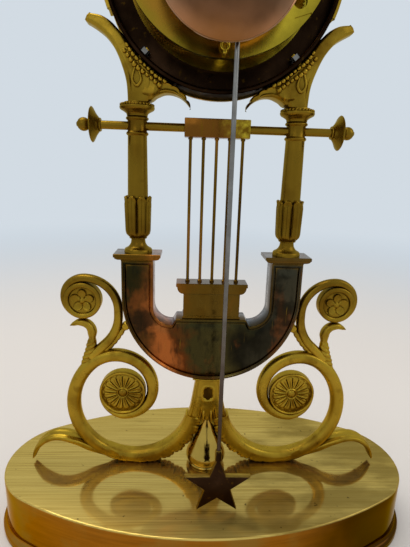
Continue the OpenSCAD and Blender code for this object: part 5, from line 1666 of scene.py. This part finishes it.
class LYRECLOCK_OT_finishes(bpy.types.Operator):
    """Makes the finishes and gives each frame node its own"""

    bl_idname = "lyreclock.finishes"
    bl_label = "Finishes"

    def execute(self, context):
        for finish in FINISHES:
            FINISH_OF[finish.__name__] = new_material(finish, context.scene.lyreclock_colours)
        for node, piece in frame["nodes"].items():
            for place in piece.material_slots:
                place.material = FINISH_OF[SLOT_OF[node]]
        return {"FINISHED"}


class LYRECLOCK_OT_stage(bpy.types.Operator):
    """Sets the floor, the lamps, the background and the camera"""

    bl_idname = "lyreclock.stage"
    bl_label = "Stage"

    def execute(self, context):
        build_stage(context.scene.lyreclock_colours)
        return {"FINISHED"}


def piece_operator(name, label, build):
    """An operator class that builds one piece or one group of like pieces"""

    def execute(self, context):
        build(context.scene.lyreclock_sizes)
        return {"FINISHED"}

    parts = {
        "bl_idname": "lyreclock." + name,
        "bl_label": label,
        "__doc__": build.__doc__,
        "execute": execute,
    }
    return type("LYRECLOCK_OT_" + name, (bpy.types.Operator,), parts)


PIECES = [
    piece_operator(name, label, build)
    for name, label, build in (
        ("base", "Base", build_base),
        ("rings", "Large scrolls", build_rings),
        ("tops", "Upper scrolls", build_tops),
        ("buds", "Buds", build_buds),
        ("foot_leaves", "Ribbon leaves", build_foot_leaves),
        ("braces", "Braces", build_braces),
        ("big_rosettes", "Large rosettes", build_big_rosettes),
        ("small_rosettes", "Small rosettes", build_small_rosettes),
        ("stem", "Stem", build_stem),
        ("drop", "Pear drop", build_drop),
        ("lyre", "Lyre", build_lyre),
        ("caps", "Arm caps", build_caps),
        ("bridge", "Bridge", build_bridge),
        ("strings", "Strings", build_strings),
        ("tailpiece", "Tailpiece and crossbar", build_tailpiece),
        ("columns", "Columns", build_columns),
        ("sheaths", "Sheaths", build_sheaths),
        ("collars", "Collars", build_collars),
        ("capitals", "Capitals", build_capitals),
        ("drum", "Drum rim and hoop", build_drum),
        ("dial_marks", "Dial marks", build_dial_marks),
        ("bezel", "Bezel and glass", build_bezel),
        ("bell", "Bell", build_bell),
        ("star", "Star", build_star),
    )
]
STEPS = [LYRECLOCK_OT_finishes, *PIECES, LYRECLOCK_OT_stage]


class LYRECLOCK_PT_panel(bpy.types.Panel):
    """Lists the clock's sizes, colours and building steps"""

    bl_idname = "LYRECLOCK_PT_panel"
    bl_label = "Lyre Clock"
    bl_space_type = "VIEW_3D"
    bl_region_type = "UI"
    bl_category = "Lyre Clock"

    def draw(self, context):
        for group in (context.scene.lyreclock_sizes, context.scene.lyreclock_colours):
            column = self.layout.column()
            for name in group.bl_rna.properties.keys():
                if name not in ("rna_type", "name"):
                    column.prop(group, name)
        for step in STEPS:
            self.layout.operator(step.bl_idname)


CLASSES = (LyreClockSizes, LyreClockColours, *STEPS, LYRECLOCK_PT_panel)


def register():
    for cls in CLASSES:
        bpy.utils.register_class(cls)
    bpy.types.Scene.lyreclock_sizes = bpy.props.PointerProperty(type=LyreClockSizes)
    bpy.types.Scene.lyreclock_colours = bpy.props.PointerProperty(type=LyreClockColours)


def unregister():
    del bpy.types.Scene.lyreclock_colours
    del bpy.types.Scene.lyreclock_sizes
    for cls in reversed(CLASSES):
        bpy.utils.unregister_class(cls)


def main():
    register()
    for step in STEPS:
        group, name = step.bl_idname.split(".")
        getattr(getattr(bpy.ops, group), name)()


if __name__ == "__main__":
    main()
